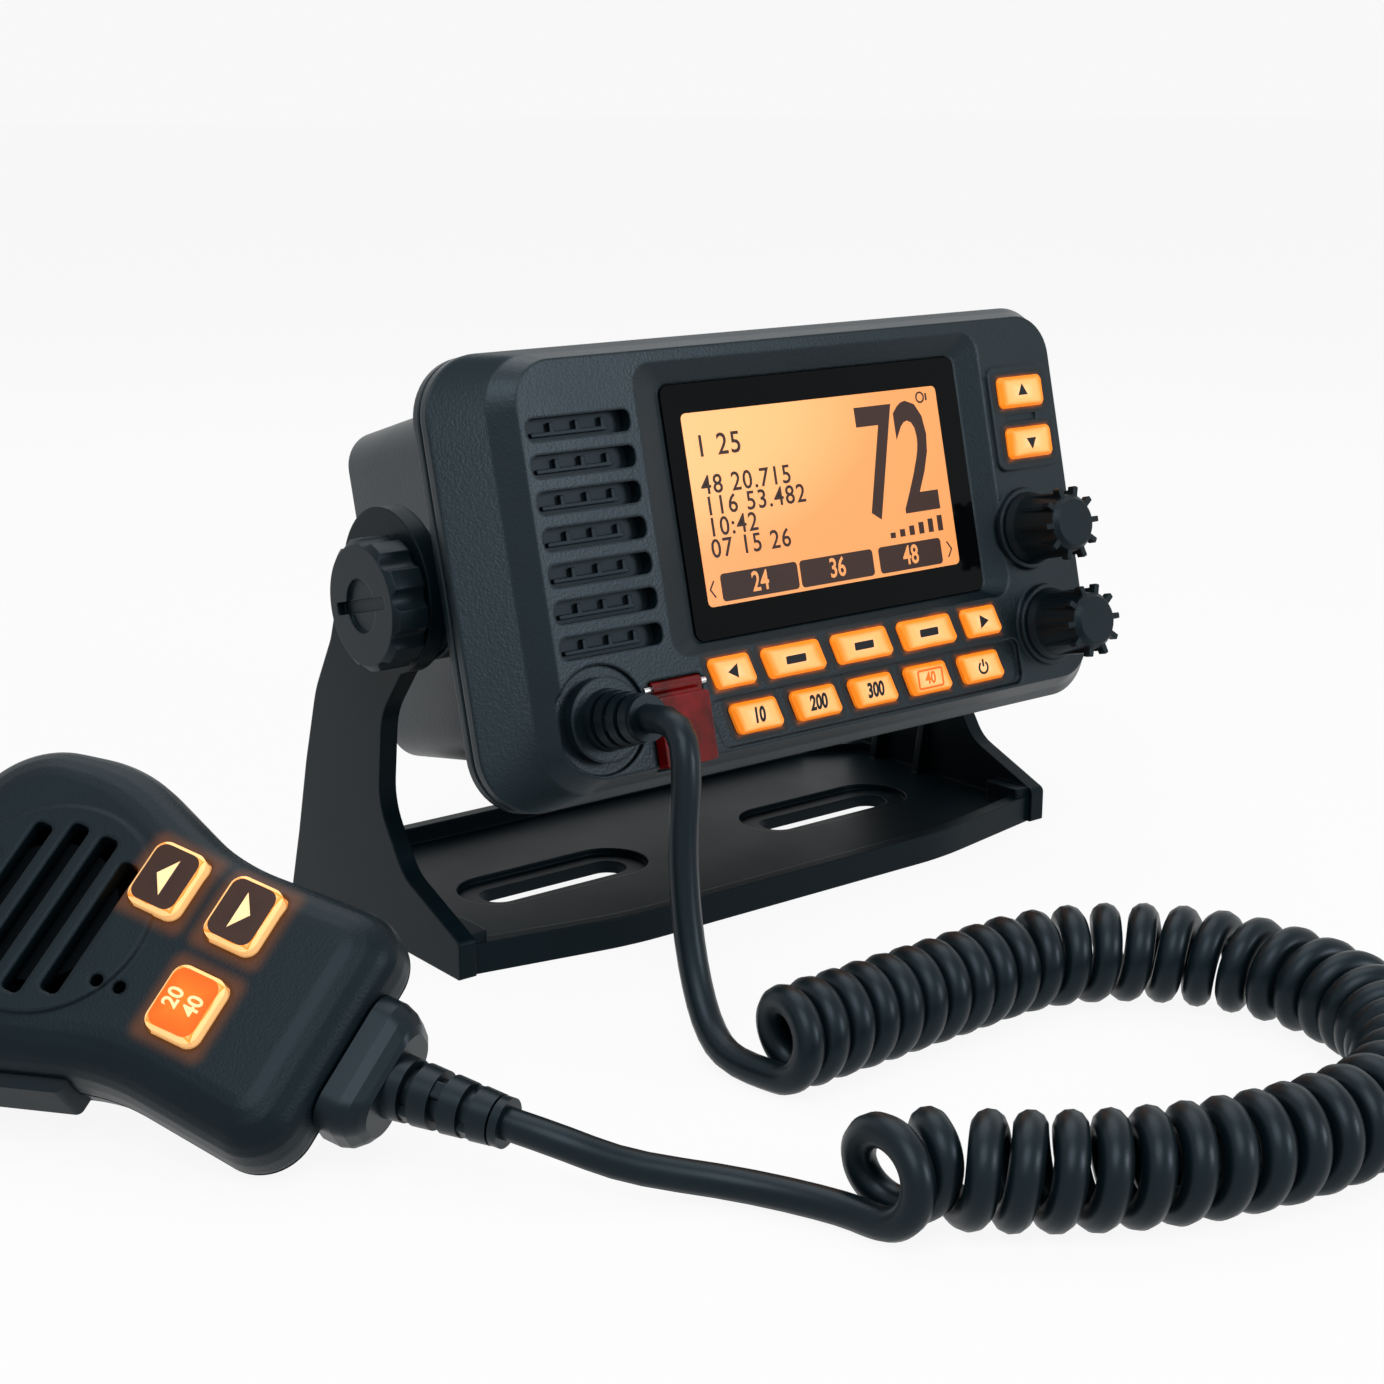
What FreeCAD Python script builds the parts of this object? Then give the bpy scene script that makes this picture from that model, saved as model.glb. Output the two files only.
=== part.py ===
import FreeCAD, Part
import math
import os

# Marine VHF radio: a front-keyed transceiver hung in a plastic gimbal bracket, with a fist
# microphone on a curly cord. Millimetres, +Z up, +X to the right of the front panel.
# Origin: bottom of the bracket, midway between its arms, under the tilt axis.

Vec = FreeCAD.Vector

# Overall sizes
panel_width = 170.0
panel_bottom = -45.5
panel_top = 45.1
panel_tilt = 14.04          # front panel leans back by this much at rest
pivot_height = 75.5

# Front panel, seen square on: x to the right, y up, z out of the panel, from the tilt axis
rear_joint_z = 17.0         # back of the case flange
gasket_z = 19.0
bezel_z = 19.8
rim_z = 22.0
screw_end_z = 21.6          # the case screws stop short of the front
shoulder_z = 24.5
face_z = 28.5
wall_in_z = 25.0            # inner side of the front wall
face_left = -68.5
face_right = 79.0
face_bottom = -41.0
face_top = 42.2

glass_left = -32.0
glass_right = 50.6
glass_bottom = -17.8
glass_top = 34.8
glass_z = 26.2

slot_count = 7
slot_height = 4.4
slot_pitch = 7.18
slot_top = 30.9
slot_left = -66.9
slot_right = -42.0

key_height = 6.6
key_lean = 2.0
key_gap = 0.25
upper_row_y = -24.8
lower_row_y = -34.9
upper_key_z = 29.7
lower_key_z = 28.9
side_key_width = 14.0
side_key_height = 7.0

jack_x = -59.7
jack_y = -29.3
jack_radius = 8.6
relief_length = 13.5
relief_base_z = 30.5

guard_left = -47.3
guard_right = -34.5
guard_bottom = -41.5
hinge_y = -25.4
hinge_z = 28.0

knob_places = {"channel": (64.0, -6.0), "volume": (66.5, -28.4)}
knob_radius = 7.6
knob_height = 14.0
collar_radius = 9.2
shaft_radius = 3.0

# Gimbal bracket
arm_in_x = 80.5
arm_out_x = 84.5
arm_head_radius = 17.0
arm_head_y = 5.0
base_front = -24.5
base_back = 52.0
floor_thick = 4.2
lip_height = 6.5
mount_slot_x = 40.0
mount_slot_y = 11.7
mount_slot_length = 38.0
mount_slot_width = 9.0
clamp_radius = 13.3
clamp_thick = 8.5
clamp_shaft = 4.0

# Cord
wire_diameter = 5.6
curl_radius = 7.0           # axis of the curls to the middle of the wire
curl_height = curl_radius + wire_diameter / 2 + 0.12
curl_turns = 40

# Microphone, lying on its side edge and its hook stud
mic_place = Vec(-156.7, -54.8, 30.8)
mic_heading = -62.48
mic_dip = 14.5
mic_roll = 43.0
mic_joint_z = -12.0
mic_wall = 2.2
mic_speaker_x = -33.0
mic_speaker_y = -1.0
mic_key_length = 10.4
mic_key_width = 12.4
talk_travel = 1.5           # how far the talk bar is squeezed in

radio_pose = FreeCAD.Placement(Vec(0, 0, pivot_height), FreeCAD.Rotation(Vec(1, 0, 0), 90 - panel_tilt))
mic_turn = (FreeCAD.Rotation(Vec(0, 0, 1), mic_heading) * FreeCAD.Rotation(Vec(0, 1, 0), mic_dip)
            * FreeCAD.Rotation(Vec(1, 0, 0), mic_roll))
mic_pose = FreeCAD.Placement(mic_place, mic_turn)


def rounded_wire(corners, z=0.0):
    # Closed outline through (x, y, radius) corners, each rounded by a tangent arc
    edges = []
    starts = []
    ends = []
    middles = []
    count = len(corners)
    for i in range(count):
        x, y, radius = corners[i]
        point = Vec(x, y, z)
        before = Vec(corners[i - 1][0], corners[i - 1][1], z) - point
        after = Vec(corners[(i + 1) % count][0], corners[(i + 1) % count][1], z) - point
        before.normalize()
        after.normalize()
        half = before.getAngle(after) / 2
        reach = radius / math.tan(half)
        inward = before + after
        inward.normalize()
        centre = point + inward * (radius / math.sin(half))
        starts.append(point + before * reach)
        ends.append(point + after * reach)
        middles.append(centre - inward * radius)
    for i in range(count):
        if (starts[i] - ends[i - 1]).Length > 1e-6:
            edges.append(Part.LineSegment(ends[i - 1], starts[i]).toShape())
        if (starts[i] - ends[i]).Length > 1e-6:
            edges.append(Part.Arc(starts[i], middles[i], ends[i]).toShape())
    return Part.Wire(edges)


def rectangle(left, bottom, right, top, radius):
    return [(left, bottom, radius), (right, bottom, radius), (right, top, radius), (left, top, radius)]


def prism(corners, z0, z1):
    return Part.Face(rounded_wire(corners, z0)).extrude(Vec(0, 0, z1 - z0))


def slab(left, bottom, right, top, radius, z0, z1):
    return prism(rectangle(left, bottom, right, top, radius), z0, z1)


def stack(sections):
    # Straight-sided loft through outlines given as (corners, z)
    return Part.makeLoft([rounded_wire(corners, z) for corners, z in sections], True, True)


def rod(radius, x, y, z0, z1):
    return Part.makeCylinder(radius, z1 - z0, Vec(x, y, z0))


def cone(radius0, radius1, x, y, z0, z1):
    return Part.makeCone(radius0, radius1, z1 - z0, Vec(x, y, z0))


def rod_x(radius, x0, x1, y, z):
    return Part.makeCylinder(radius, x1 - x0, Vec(x0, y, z), Vec(1, 0, 0))


def fuse(shapes):
    body = shapes[0].fuse(shapes[1:]) if len(shapes) > 1 else shapes[0]
    return body.removeSplitter()


def write(name, shape, pose=None):
    shape = shape.copy()
    if pose is not None:
        shape.Placement = pose.multiply(shape.Placement)
    shape.exportStep("parts/" + name + ".step")
    written[name] = shape


# Front panel

def screen_recess(spread):
    return rectangle(glass_left - spread, glass_bottom - spread * 0.3, glass_right + spread * 0.75,
                     glass_top + spread * 0.6, 2.0 + spread * 0.3)


def front_bezel():
    half = panel_width / 2
    body = fuse([
        slab(-half, panel_bottom, half, panel_top, 13.0, bezel_z, rim_z),
        stack([(rectangle(-half, panel_bottom, half, panel_top, 13.0), rim_z),
               (rectangle(-73.0, -43.5, 82.0, 43.8, 11.0), shoulder_z),
               (rectangle(face_left, face_bottom, face_right, face_top, 9.0), face_z)])])
    # Raised seat of the two side keys and the two knob collars
    body = body.fuse(slab(57.8, 7.6, 77.2, 31.2, 2.5, wall_in_z + 1, face_z + 0.8))
    for x, y in knob_places.values():
        body = body.fuse(cone(collar_radius + 0.6, collar_radius, x, y, wall_in_z + 1, face_z + 1.6))
    cuts = [slab(-69.0, -39.6, 76.7, 39.5, 5.0, bezel_z - 1, wall_in_z)]
    # Screen recess with sloping walls, then the window itself
    cuts.append(stack([(screen_recess(8.0), face_z + 0.01), (screen_recess(0.8), wall_in_z + 0.8)]))
    cuts.append(slab(glass_left - 0.2, glass_bottom - 0.2, glass_right + 0.2, glass_top + 0.2, 2.2,
                     wall_in_z - 1, wall_in_z + 1))
    for i in range(slot_count):
        top = slot_top - i * slot_pitch
        cuts.append(slab(slot_left, top - slot_height, slot_right, top, 1.6, wall_in_z - 1, face_z + 1))
    # Lower key band, a step below the face
    cuts.append(prism([(-30.5, -40.3, 2), (56.5, -40.3, 2), (56.5, -30.1, 2), (-33.5, -30.1, 2)],
                      face_z - 1.2, face_z + 1))
    # Notch between the side keys
    cuts.append(slab(61.5, 18.4, 71.5, 20.4, 0.6, face_z + 0.1, face_z + 2))
    for name, corners, top in key_outlines():
        grown = grow_key(corners, key_gap)
        cuts.append(prism(grown, wall_in_z - 1, face_z + 3))
    # Seat and hole of the microphone connector
    cuts.append(rod(11.0, jack_x, jack_y, face_z - 1.0, face_z + 1))
    cuts.append(rod(6.65, jack_x, jack_y, wall_in_z - 1, face_z + 1))
    # Pocket of the guarded button
    cuts.append(slab(guard_left - 0.4, guard_bottom - 0.5, guard_right + 0.4, hinge_y + 1.7, 0.8,
                     wall_in_z + 1, face_z + 1))
    cuts.append(slab(-45.2, -38.8, -36.6, -30.2, 1.0, wall_in_z - 1, face_z + 1))
    cuts.append(rod_x(0.8, guard_left - 1.4, guard_right + 1.4, hinge_y, hinge_z))
    for x, y in knob_places.values():
        cuts.append(rod(4.7, x, y, wall_in_z - 1, face_z + 3))
    for x, y in screw_places():
        cuts.append(rod(1.5, x, y, bezel_z - 1, screw_end_z))
    return body.cut(cuts)


def screw_places():
    return [(x, y) for x in (-78.0, 78.0) for y in (-38.5, 38.0)]


def grow_key(corners, margin):
    # The same outline moved outwards by the margin on every side
    xs = [c[0] for c in corners]
    ys = [c[1] for c in corners]
    cx = sum(xs) / 4
    cy = sum(ys) / 4
    return [(x + margin * (1 if x > cx else -1) * 1.1, y + margin * (1 if y > cy else -1), r + margin)
            for x, y, r in corners]


def lean_key(left, width, y):
    top = y + key_height / 2
    bottom = y - key_height / 2
    return [(left + key_lean, bottom, 1.3), (left + width + key_lean, bottom, 1.3),
            (left + width, top, 1.3), (left, top, 1.3)]


def key_outlines():
    keys = []
    widths = [("left", 10.9), ("soft_1", 16.0), ("soft_2", 16.0), ("soft_3", 16.0), ("right", 10.9)]
    left = -32.7
    for name, width in widths:
        keys.append(("key_" + name, lean_key(left, width, upper_row_y), upper_key_z))
        left += width + 3.2
    for i, name in enumerate(("output", "menu", "clear", "calling", "power")):
        keys.append(("key_" + name, lean_key(-28.0 + i * 16.3, 12.3, lower_row_y), lower_key_z))
    for name, y in (("up", 25.1), ("down", 13.5)):
        x = 60.2 if name == "up" else 60.9
        bottom = y - side_key_height / 2
        keys.append(("key_" + name, rectangle(x, bottom, x + side_key_width, bottom + side_key_height, 1.3),
                     face_z + 2.0))
    return keys


def front_key(corners, top):
    # Domed cap through the panel with a flange that keeps it from falling out
    cap = stack([(corners, 23.9), (corners, top - 0.7), (grow_key(corners, -0.6), top)])
    flange = prism(grow_key(corners, 0.8), 23.9, 24.6)
    return fuse([cap, flange])


def display_lens():
    plate = slab(glass_left, glass_bottom, glass_right, glass_top, 2.0, wall_in_z, glass_z)
    flange = slab(glass_left - 1.9, glass_bottom - 1.9, glass_right + 1.9, glass_top + 1.9, 2.0,
                  wall_in_z - 1.2, wall_in_z)
    return fuse([plate, flange])


def lcd_panel():
    return slab(-29.6, -13.2, 46.2, 30.7, 0.8, 21.0, 23.8)


def display_board():
    board = slab(-34.0, -37.5, 76.0, 37.5, 5.0, 19.6, 21.0)
    for x, y in knob_places.values():
        board = board.cut(rod(3.6, x, y, 19, 22))
    return board


def keypad_mat():
    return slab(-34.0, -39.0, 55.0, -20.4, 1.5, 21.0, 22.6)


def side_keypad_mat():
    return slab(57.5, 7.5, 76.0, 31.0, 1.5, 21.0, 22.6)


def speaker_baffle():
    plate = slab(-68.6, -20.0, -34.6, 36.0, 2.0, 23.8, wall_in_z)
    # A comb in each louvre gap: a bar with three teeth
    combs = []
    for i in range(slot_count):
        middle = slot_top - i * slot_pitch - slot_height / 2
        combs.append(slab(-64.5, middle - 1.3, -46.0, middle - 0.5, 0.3, wall_in_z - 0.2, wall_in_z + 1.2))
        for tooth in range(3):
            x = -60.0 + tooth * 6.2
            combs.append(slab(x, middle - 1.0, x + 1.0, middle + 1.3, 0.3, wall_in_z - 0.2, wall_in_z + 1.2))
    return fuse([plate] + combs)


def speaker():
    frame = fuse([rod(15.4, -52.0, 8.0, 21.6, 23.8), cone(8.0, 14.0, -52.0, 8.0, 15.0, 21.6),
                  rod(9.0, -52.0, 8.0, 8.0, 15.0)])
    return frame


def jack_collar():
    ring = fuse([rod(jack_radius, jack_x, jack_y, face_z - 1.0, relief_base_z),
                 rod(6.6, jack_x, jack_y, 21.0, face_z - 1.0)])
    return ring


def ribbed_relief(length, root_radius, tip_radius, ribs):
    # Tapered sleeve along +z: rings joined by pairs of bridges, turned a quarter from gap to gap
    sleeve = [cone(root_radius - 1.9, tip_radius - 1.3, 0, 0, 0, length)]
    pitch = length / ribs
    for i in range(ribs):
        outer = root_radius + (tip_radius - root_radius) * i / (ribs - 1)
        sleeve.append(cone(outer, outer - 0.3, 0, 0, i * pitch, i * pitch + pitch * 0.64))
        if i < ribs - 1:
            across, along = (outer - 0.7, 1.5) if i % 2 else (1.5, outer - 0.7)
            sleeve.append(slab(-across, -along, across, along, 0.4, i * pitch, (i + 1.3) * pitch))
    sleeve.append(rod(tip_radius - 0.4, 0, 0, length - 1.6, length))
    return fuse(sleeve)


def radio_strain_relief():
    sleeve = ribbed_relief(relief_length, 6.3, 5.0, 4)
    sleeve.translate(Vec(jack_x, jack_y, relief_base_z))
    return sleeve


def guard_cover():
    shell = slab(guard_left, guard_bottom, guard_right, hinge_y - 1.7, 1.0, 26.6, 31.0)
    shell = shell.cut(slab(guard_left + 1.1, guard_bottom + 1.1, guard_right - 1.1, hinge_y - 2.8, 0.6,
                           26.0, 29.8))
    barrel = rod_x(1.5, guard_left + 0.3, guard_right - 0.3, hinge_y, hinge_z)
    web = slab(guard_left + 0.3, hinge_y - 2.0, guard_right - 0.3, hinge_y, 0.2, 27.2, 29.1)
    lid = fuse([shell, barrel, web])
    return lid.cut(rod_x(0.88, guard_left - 1, guard_right + 1, hinge_y, hinge_z))


def guard_pin():
    return rod_x(0.8, guard_left - 1.4, guard_right + 1.4, hinge_y, hinge_z)


def guarded_button():
    cap = slab(-44.9, -38.5, -36.9, -30.5, 0.9, 23.4, 28.2)
    return fuse([cap, slab(-45.9, -39.5, -35.9, -29.5, 0.9, 23.4, 24.6)])


def encoder(x, y):
    body = fuse([slab(x - 6.3, y - 6.3, x + 6.3, y + 6.3, 0.8, 21.0, 24.9), rod(4.5, x, y, 24.9, face_z)])
    return body.cut(rod(shaft_radius + 0.05, x, y, 20, 30))


def knob(x, y):
    base = face_z + 1.8
    top = base + knob_height
    body = [cone(8.3, knob_radius, 0, 0, base, base + 2.0), cone(knob_radius, 6.3, 0, 0, base + 2.0, top - 1.2),
            cone(6.3, 5.2, 0, 0, top - 1.2, top), rod(shaft_radius, 0, 0, 21.6, base)]
    for i in range(10):
        rib = slab(5.6, -0.65, 7.5, 0.65, 0.3, base + 2.0, top - 2.6)
        nub = slab(5.4, -0.65, 8.3, 0.65, 0.3, top - 2.8, top - 1.0)
        for piece in (rib, nub):
            piece.rotate(Vec(0, 0, 0), Vec(0, 0, 1), i * 36.0)
            body.append(piece)
    whole = fuse(body)
    whole.translate(Vec(x, y, 0))
    return whole


# Rear half of the radio

def rear_case():
    half = panel_width / 2
    outer = fuse([slab(-half, panel_bottom, half, panel_top, 13.0, rear_joint_z, gasket_z),
                  stack([(rectangle(-79.0, -42.0, 79.0, 42.0, 11.0), rear_joint_z),
                         (rectangle(-66.0, -39.0, 66.0, 39.5, 9.0), 6.0),
                         (rectangle(-61.0, -36.5, 61.0, 37.5, 8.0), -54.0),
                         (rectangle(-57.0, -33.0, 57.0, 34.0, 6.0), -58.0)])])
    inner = stack([(rectangle(-75.0, -38.3, 75.0, 38.3, 8.0), gasket_z + 0.1),
                   (rectangle(-62.8, -36.0, 62.8, 36.4, 7.0), 5.0),
                   (rectangle(-57.8, -33.4, 57.8, 34.4, 6.0), -54.6)])
    shell = outer.cut(inner)
    extras = []
    for side in (-1, 1):
        boss = rod_x(13.0, 61.9, 79.2, 0, 0) if side > 0 else rod_x(13.0, -79.2, -61.9, 0, 0)
        rib = Part.makeBox(16.0, 3.0, 28.0, Vec(62.0 if side > 0 else -78.0, -1.5, -14.0))
        extras += [boss, rib]
    # Cooling fins and the posts that carry the main board
    for i in range(11):
        x = -50.0 + i * 10.0
        extras.append(slab(x - 1.1, -8.0, x + 1.1, 30.0, 0.5, -63.5, -56.5))
    for x in (-46.0, 46.0):
        for y in (-24.0, 24.0):
            extras.append(rod(3.0, x, y, -55.5, -20.0))
    shell = fuse([shell] + extras)
    cuts = []
    for side in (-1, 1):
        cuts.append(rod_x(clamp_shaft + 0.05, 67.0, 80.0, 0, 0) if side > 0
                    else rod_x(clamp_shaft + 0.05, -80.0, -67.0, 0, 0))
    for x, y in screw_places():
        cuts.append(rod(1.55, x, y, rear_joint_z - 1, gasket_z + 1))
        cuts.append(rod(3.2, x, y, rear_joint_z - 9, rear_joint_z))
    cuts.append(rod(5.2, -34.0, -22.0, -59.0, -50.0))
    cuts.append(rod(5.2, 34.0, -22.0, -59.0, -50.0))
    return shell.cut(cuts)


def case_gasket():
    ring = slab(-84.2, -44.7, 84.2, 44.3, 12.3, gasket_z, bezel_z)
    ring = ring.cut(slab(-76.5, -39.0, 76.5, 39.7, 7.0, gasket_z - 1, bezel_z + 1))
    for x, y in screw_places():
        ring = ring.cut(rod(1.6, x, y, gasket_z - 1, bezel_z + 1))
    return ring


def case_screws():
    screws = []
    for x, y in screw_places():
        head = rod(2.9, x, y, rear_joint_z - 1.8, rear_joint_z)
        shank = rod(1.45, x, y, rear_joint_z, screw_end_z - 0.1)
        hexagon = [(x + 1.2 * math.cos(math.radians(60 * k)), y + 1.2 * math.sin(math.radians(60 * k)), 0.1)
                   for k in range(6)]
        screws.append(fuse([head, shank]).cut(prism(hexagon, rear_joint_z - 2, rear_joint_z - 0.8)))
    return Part.Compound(screws)


def main_board():
    return slab(-52.0, -30.0, 52.0, 30.0, 2.0, -20.0, -18.4)


def antenna_jack():
    # Threaded coaxial socket, 5/8 inch across, on a square flange
    x, y = -34.0, -22.0
    body = fuse([rod(5.0, x, y, -58.5, -52.0), slab(x - 9, y - 9, x + 9, y + 9, 2.5, -60.0, -58.0),
                 rod(7.94, x, y, -74.0, -60.0)])
    return body.cut(rod(6.0, x, y, -75.0, -62.0)).fuse(rod(2.4, x, y, -71.0, -61.0))


def power_gland():
    x, y = 34.0, -22.0
    body = fuse([rod(5.0, x, y, -58.5, -52.0), rod(9.0, x, y, -61.0, -58.0), cone(6.0, 7.5, x, y, -70.0, -61.0)])
    return body.cut(rod(3.2, x, y, -71.0, -66.0))


# Gimbal bracket and its clamp knobs

def slot_shape(x, y, length, width, z0, z1):
    return slab(x - length / 2, y - width / 2, x + length / 2, y + width / 2, width / 2 - 0.01, z0, z1)


def arm_outline():
    return [(-19.0, 0.0, 0.5), (base_back - 1.0, 0.0, 0.5), (46.4, 14.9, 30), (41.7, 32.2, 30),
            (36.0, 49.5, 25), (28.5, 62.0, 10), (20.5, 84.0, 3), (-3.0, 64.0, 3), (8.5, 50.0, 14),
            (11.0, 30.0, 14), (2.0, 16.5, 10), (-19.0, 8.0, 1.5)]


def gimbal_bracket():
    half = arm_out_x
    plan = [(-half, -17.0, 4), (-45.0, base_front, 80), (45.0, base_front, 80), (half, -17.0, 4),
            (half, 42.0, 7), (66.0, base_back, 12), (-66.0, base_back, 12), (-half, 42.0, 7)]
    inner = [(-arm_in_x, -14.2, 3), (-45.0, base_front + 3, 80), (45.0, base_front + 3, 80),
             (arm_in_x, -14.2, 3), (arm_in_x, 40.5, 5), (64.5, base_back - 3, 10),
             (-64.5, base_back - 3, 10), (-arm_in_x, 40.5, 5)]
    tray = prism(plan, 0, lip_height).cut(prism(inner, floor_thick, lip_height + 1))
    back_lip = slab(-66.0, base_back - 3, 66.0, base_back, 1.2, 0, lip_height + 1.8)
    pieces = [tray, back_lip]
    head = Vec(0, arm_head_y, pivot_height + 1.0)
    for side in (-1, 1):
        x0 = arm_in_x if side > 0 else -arm_out_x
        plate = Part.Face(rounded_wire(arm_outline(), 0)).extrude(Vec(0, 0, arm_out_x - arm_in_x))
        plate = plate.fuse(rod(arm_head_radius, head.y, head.z, 0, arm_out_x - arm_in_x))
        # The outline is drawn flat and stood up: its x runs back, its y runs up
        plate.Placement = FreeCAD.Placement(Vec(x0, 0, 0), FreeCAD.Rotation(Vec(1, 1, 1), 120))
        pieces.append(plate)
        # Corner block in front and a stiffening web where the arm meets the floor
        bx = 76.5 if side > 0 else -arm_out_x
        pieces.append(slab(bx, -17.5, bx + 8.0, -7.0, 1.0, 0, 8.6))
        wx = 77.0 if side > 0 else -arm_in_x
        for y in (18.0, 34.0):
            web = Part.makePolygon([Vec(wx, y, 3), Vec(wx + 3.5, y, 3), Vec(wx + 3.5, y, 24),
                                    Vec(wx, y, 3)]) if side > 0 else \
                Part.makePolygon([Vec(wx, y, 3), Vec(wx + 3.5, y, 3), Vec(wx, y, 24), Vec(wx, y, 3)])
            pieces.append(Part.Face(web).extrude(Vec(0, 2.0, 0)))
    body = fuse(pieces)
    cuts = []
    for side in (-1, 1):
        cuts.append(slot_shape(side * mount_slot_x, mount_slot_y, mount_slot_length, mount_slot_width, -1, 9))
        cuts.append(slot_shape(side * mount_slot_x, mount_slot_y, 48.0, 19.0, floor_thick - 1.4, 9))
        cuts.append(rod_x(clamp_shaft + 0.4, 79.0, 86.0, 0, pivot_height) if side > 0
                    else rod_x(clamp_shaft + 0.4, -86.0, -79.0, 0, pivot_height))
    return body.cut(cuts)


def clamp_knob(side):
    # Ten-lobed knob with a coin slot, on a shaft that screws into the radio
    gap = 0.2
    disc = fuse([rod(clamp_radius, 0, 0, 1.0, clamp_thick - 1.0),
                 cone(clamp_radius, clamp_radius - 1.2, 0, 0, clamp_thick - 1.0, clamp_thick)])
    for i in range(10):
        angle = math.radians(36 * i)
        reach = clamp_radius + 1.9
        disc = disc.cut(rod(3.0, reach * math.cos(angle), reach * math.sin(angle), 0, clamp_thick + 1))
    knob_body = fuse([disc, rod(8.5, 0, 0, 0, 1.2), rod(clamp_shaft, 0, 0, -(arm_out_x + gap - 68.0), 0.5)])
    knob_body = knob_body.cut(slab(-9.5, -1.3, 9.5, 1.3, 0.5, clamp_thick - 1.8, clamp_thick + 1))
    knob_body = knob_body.cut(rod(5.5, 0, 0, clamp_thick - 0.8, clamp_thick + 1))
    knob_body.rotate(Vec(0, 0, 0), Vec(0, 1, 0), 90 * side)
    knob_body.translate(Vec(side * (arm_out_x + gap), 0, 0))
    return knob_body


def clamp_washer(side):
    x0 = 79.2 if side > 0 else -80.2
    return rod_x(12.0, x0, x0 + 1.0, 0, 0).cut(rod_x(clamp_shaft + 0.3, x0 - 1, x0 + 2, 0, 0))


# Microphone: x towards its cord, y across, z out of its face

def mic_outline(inset):
    k = inset
    return [(-62.0 + k, -26.0 + k * 0.6, 18 - k), (-35.0, -31.5 + k, 30), (-9.0, -22.5 + k, 40 + k),
            (27.0 - k, -24.5 + k, 9 - k * 0.8), (27.0 - k, 24.5 - k, 9 - k * 0.8), (-9.0, 22.5 - k, 40 + k),
            (-35.0, 31.5 - k, 30), (-62.0 + k, 26.0 - k * 0.6, 18 - k)]


def mic_keys():
    return [("mic_key_up", -15.6, 12.0), ("mic_key_down", 0.4, 12.0), ("mic_key_call", 0.4, -6.0)]


def mic_key_block(x, y, grow, z0, z1):
    a = mic_key_length / 2 + grow
    b = mic_key_width / 2 + grow
    return slab(x - a, y - b, x + a, y + b, 2.4, z0, z1)


def talk_bar_outline(out, inner, ends):
    # Follows the side of the shell, standing out from it
    return [(-42.0 - ends, inner, 1.0), (-42.0 - ends, -31.4 - out, 1.5), (-34.5, -31.6 - out, 12.0),
            (-15.0 + ends, -24.9 - out, 1.5), (-15.0 + ends, inner + 4.0, 1.0)]


def talk_bar():
    return prism(talk_bar_outline(1.9, -26.6, 0.0), -18.0, -7.0)


def talk_opening():
    # Room for the bar and for its travel inwards
    side = 0.35
    return prism(talk_bar_outline(6.0, -26.6 + talk_travel + 0.4, side), -18.0 - side, -7.0 + side)


def mic_front_shell():
    crown = [(0.0, mic_joint_z), (0.1, -8.5), (0.6, -5.4), (1.5, -3.6), (2.6, -2.4), (4.4, -1.2), (6.8, -0.35),
             (9.0, 0.0)]
    body = stack([(mic_outline(inset), z) for inset, z in crown])
    body = body.fuse(rod(19.5, mic_speaker_x, mic_speaker_y, -1.0, 0.6))
    hollow = stack([(mic_outline(mic_wall), mic_joint_z - 0.1), (mic_outline(mic_wall + 1.6), -2.6)])
    body = body.cut(hollow)
    posts = [rod(1.8, 18.0, side * 15.0, -8.2, -2.0) for side in (-1, 1)]
    body = fuse([body] + posts)
    cuts = []
    for i in range(5):
        x = -23.4 - 6.3 * i
        reach = math.sqrt(17.0 ** 2 - (x - mic_speaker_x) ** 2) - 1.0
        cuts.append(slab(x - 1.9, mic_speaker_y - reach, x + 1.9, mic_speaker_y + reach, 1.2, -4.0, 2.0))
    for name, x, y in mic_keys():
        cuts.append(mic_key_block(x, y, key_gap, -4.0, 3.0))
    for x, y in ((-16.6, -8.6), (-12.6, -7.9)):
        cuts.append(rod(1.2, x, y, -4.0, 2.0))
    cuts.append(talk_opening())
    for x, y in mic_screw_places():
        cuts.append(rod(1.2, x, y, mic_joint_z - 1, -4.0))
    return body.cut(cuts)


def mic_screw_places():
    return [(21.0, -17.5), (21.0, 17.5), (-50.0, -16.0), (-50.0, 16.0)]


def mic_gasket():
    ring = prism(mic_outline(0.5), mic_joint_z - 0.6, mic_joint_z)
    ring = ring.cut(prism(mic_outline(mic_wall), mic_joint_z - 1, mic_joint_z + 1))
    return ring.cut(talk_opening())


def sloped(corners, z_head, z_tail):
    # The outline laid on a plane that is deep at the head and shallow at the cord end
    wire = rounded_wire(corners, 0)
    span = 89.0
    slope = math.degrees(math.atan2(z_tail - z_head, span))
    wire.rotate(Vec(0, 0, 0), Vec(0, 1, 0), -slope)
    wire.translate(Vec(0, 0, z_head + (z_tail - z_head) * 62.0 / span))
    return wire


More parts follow.
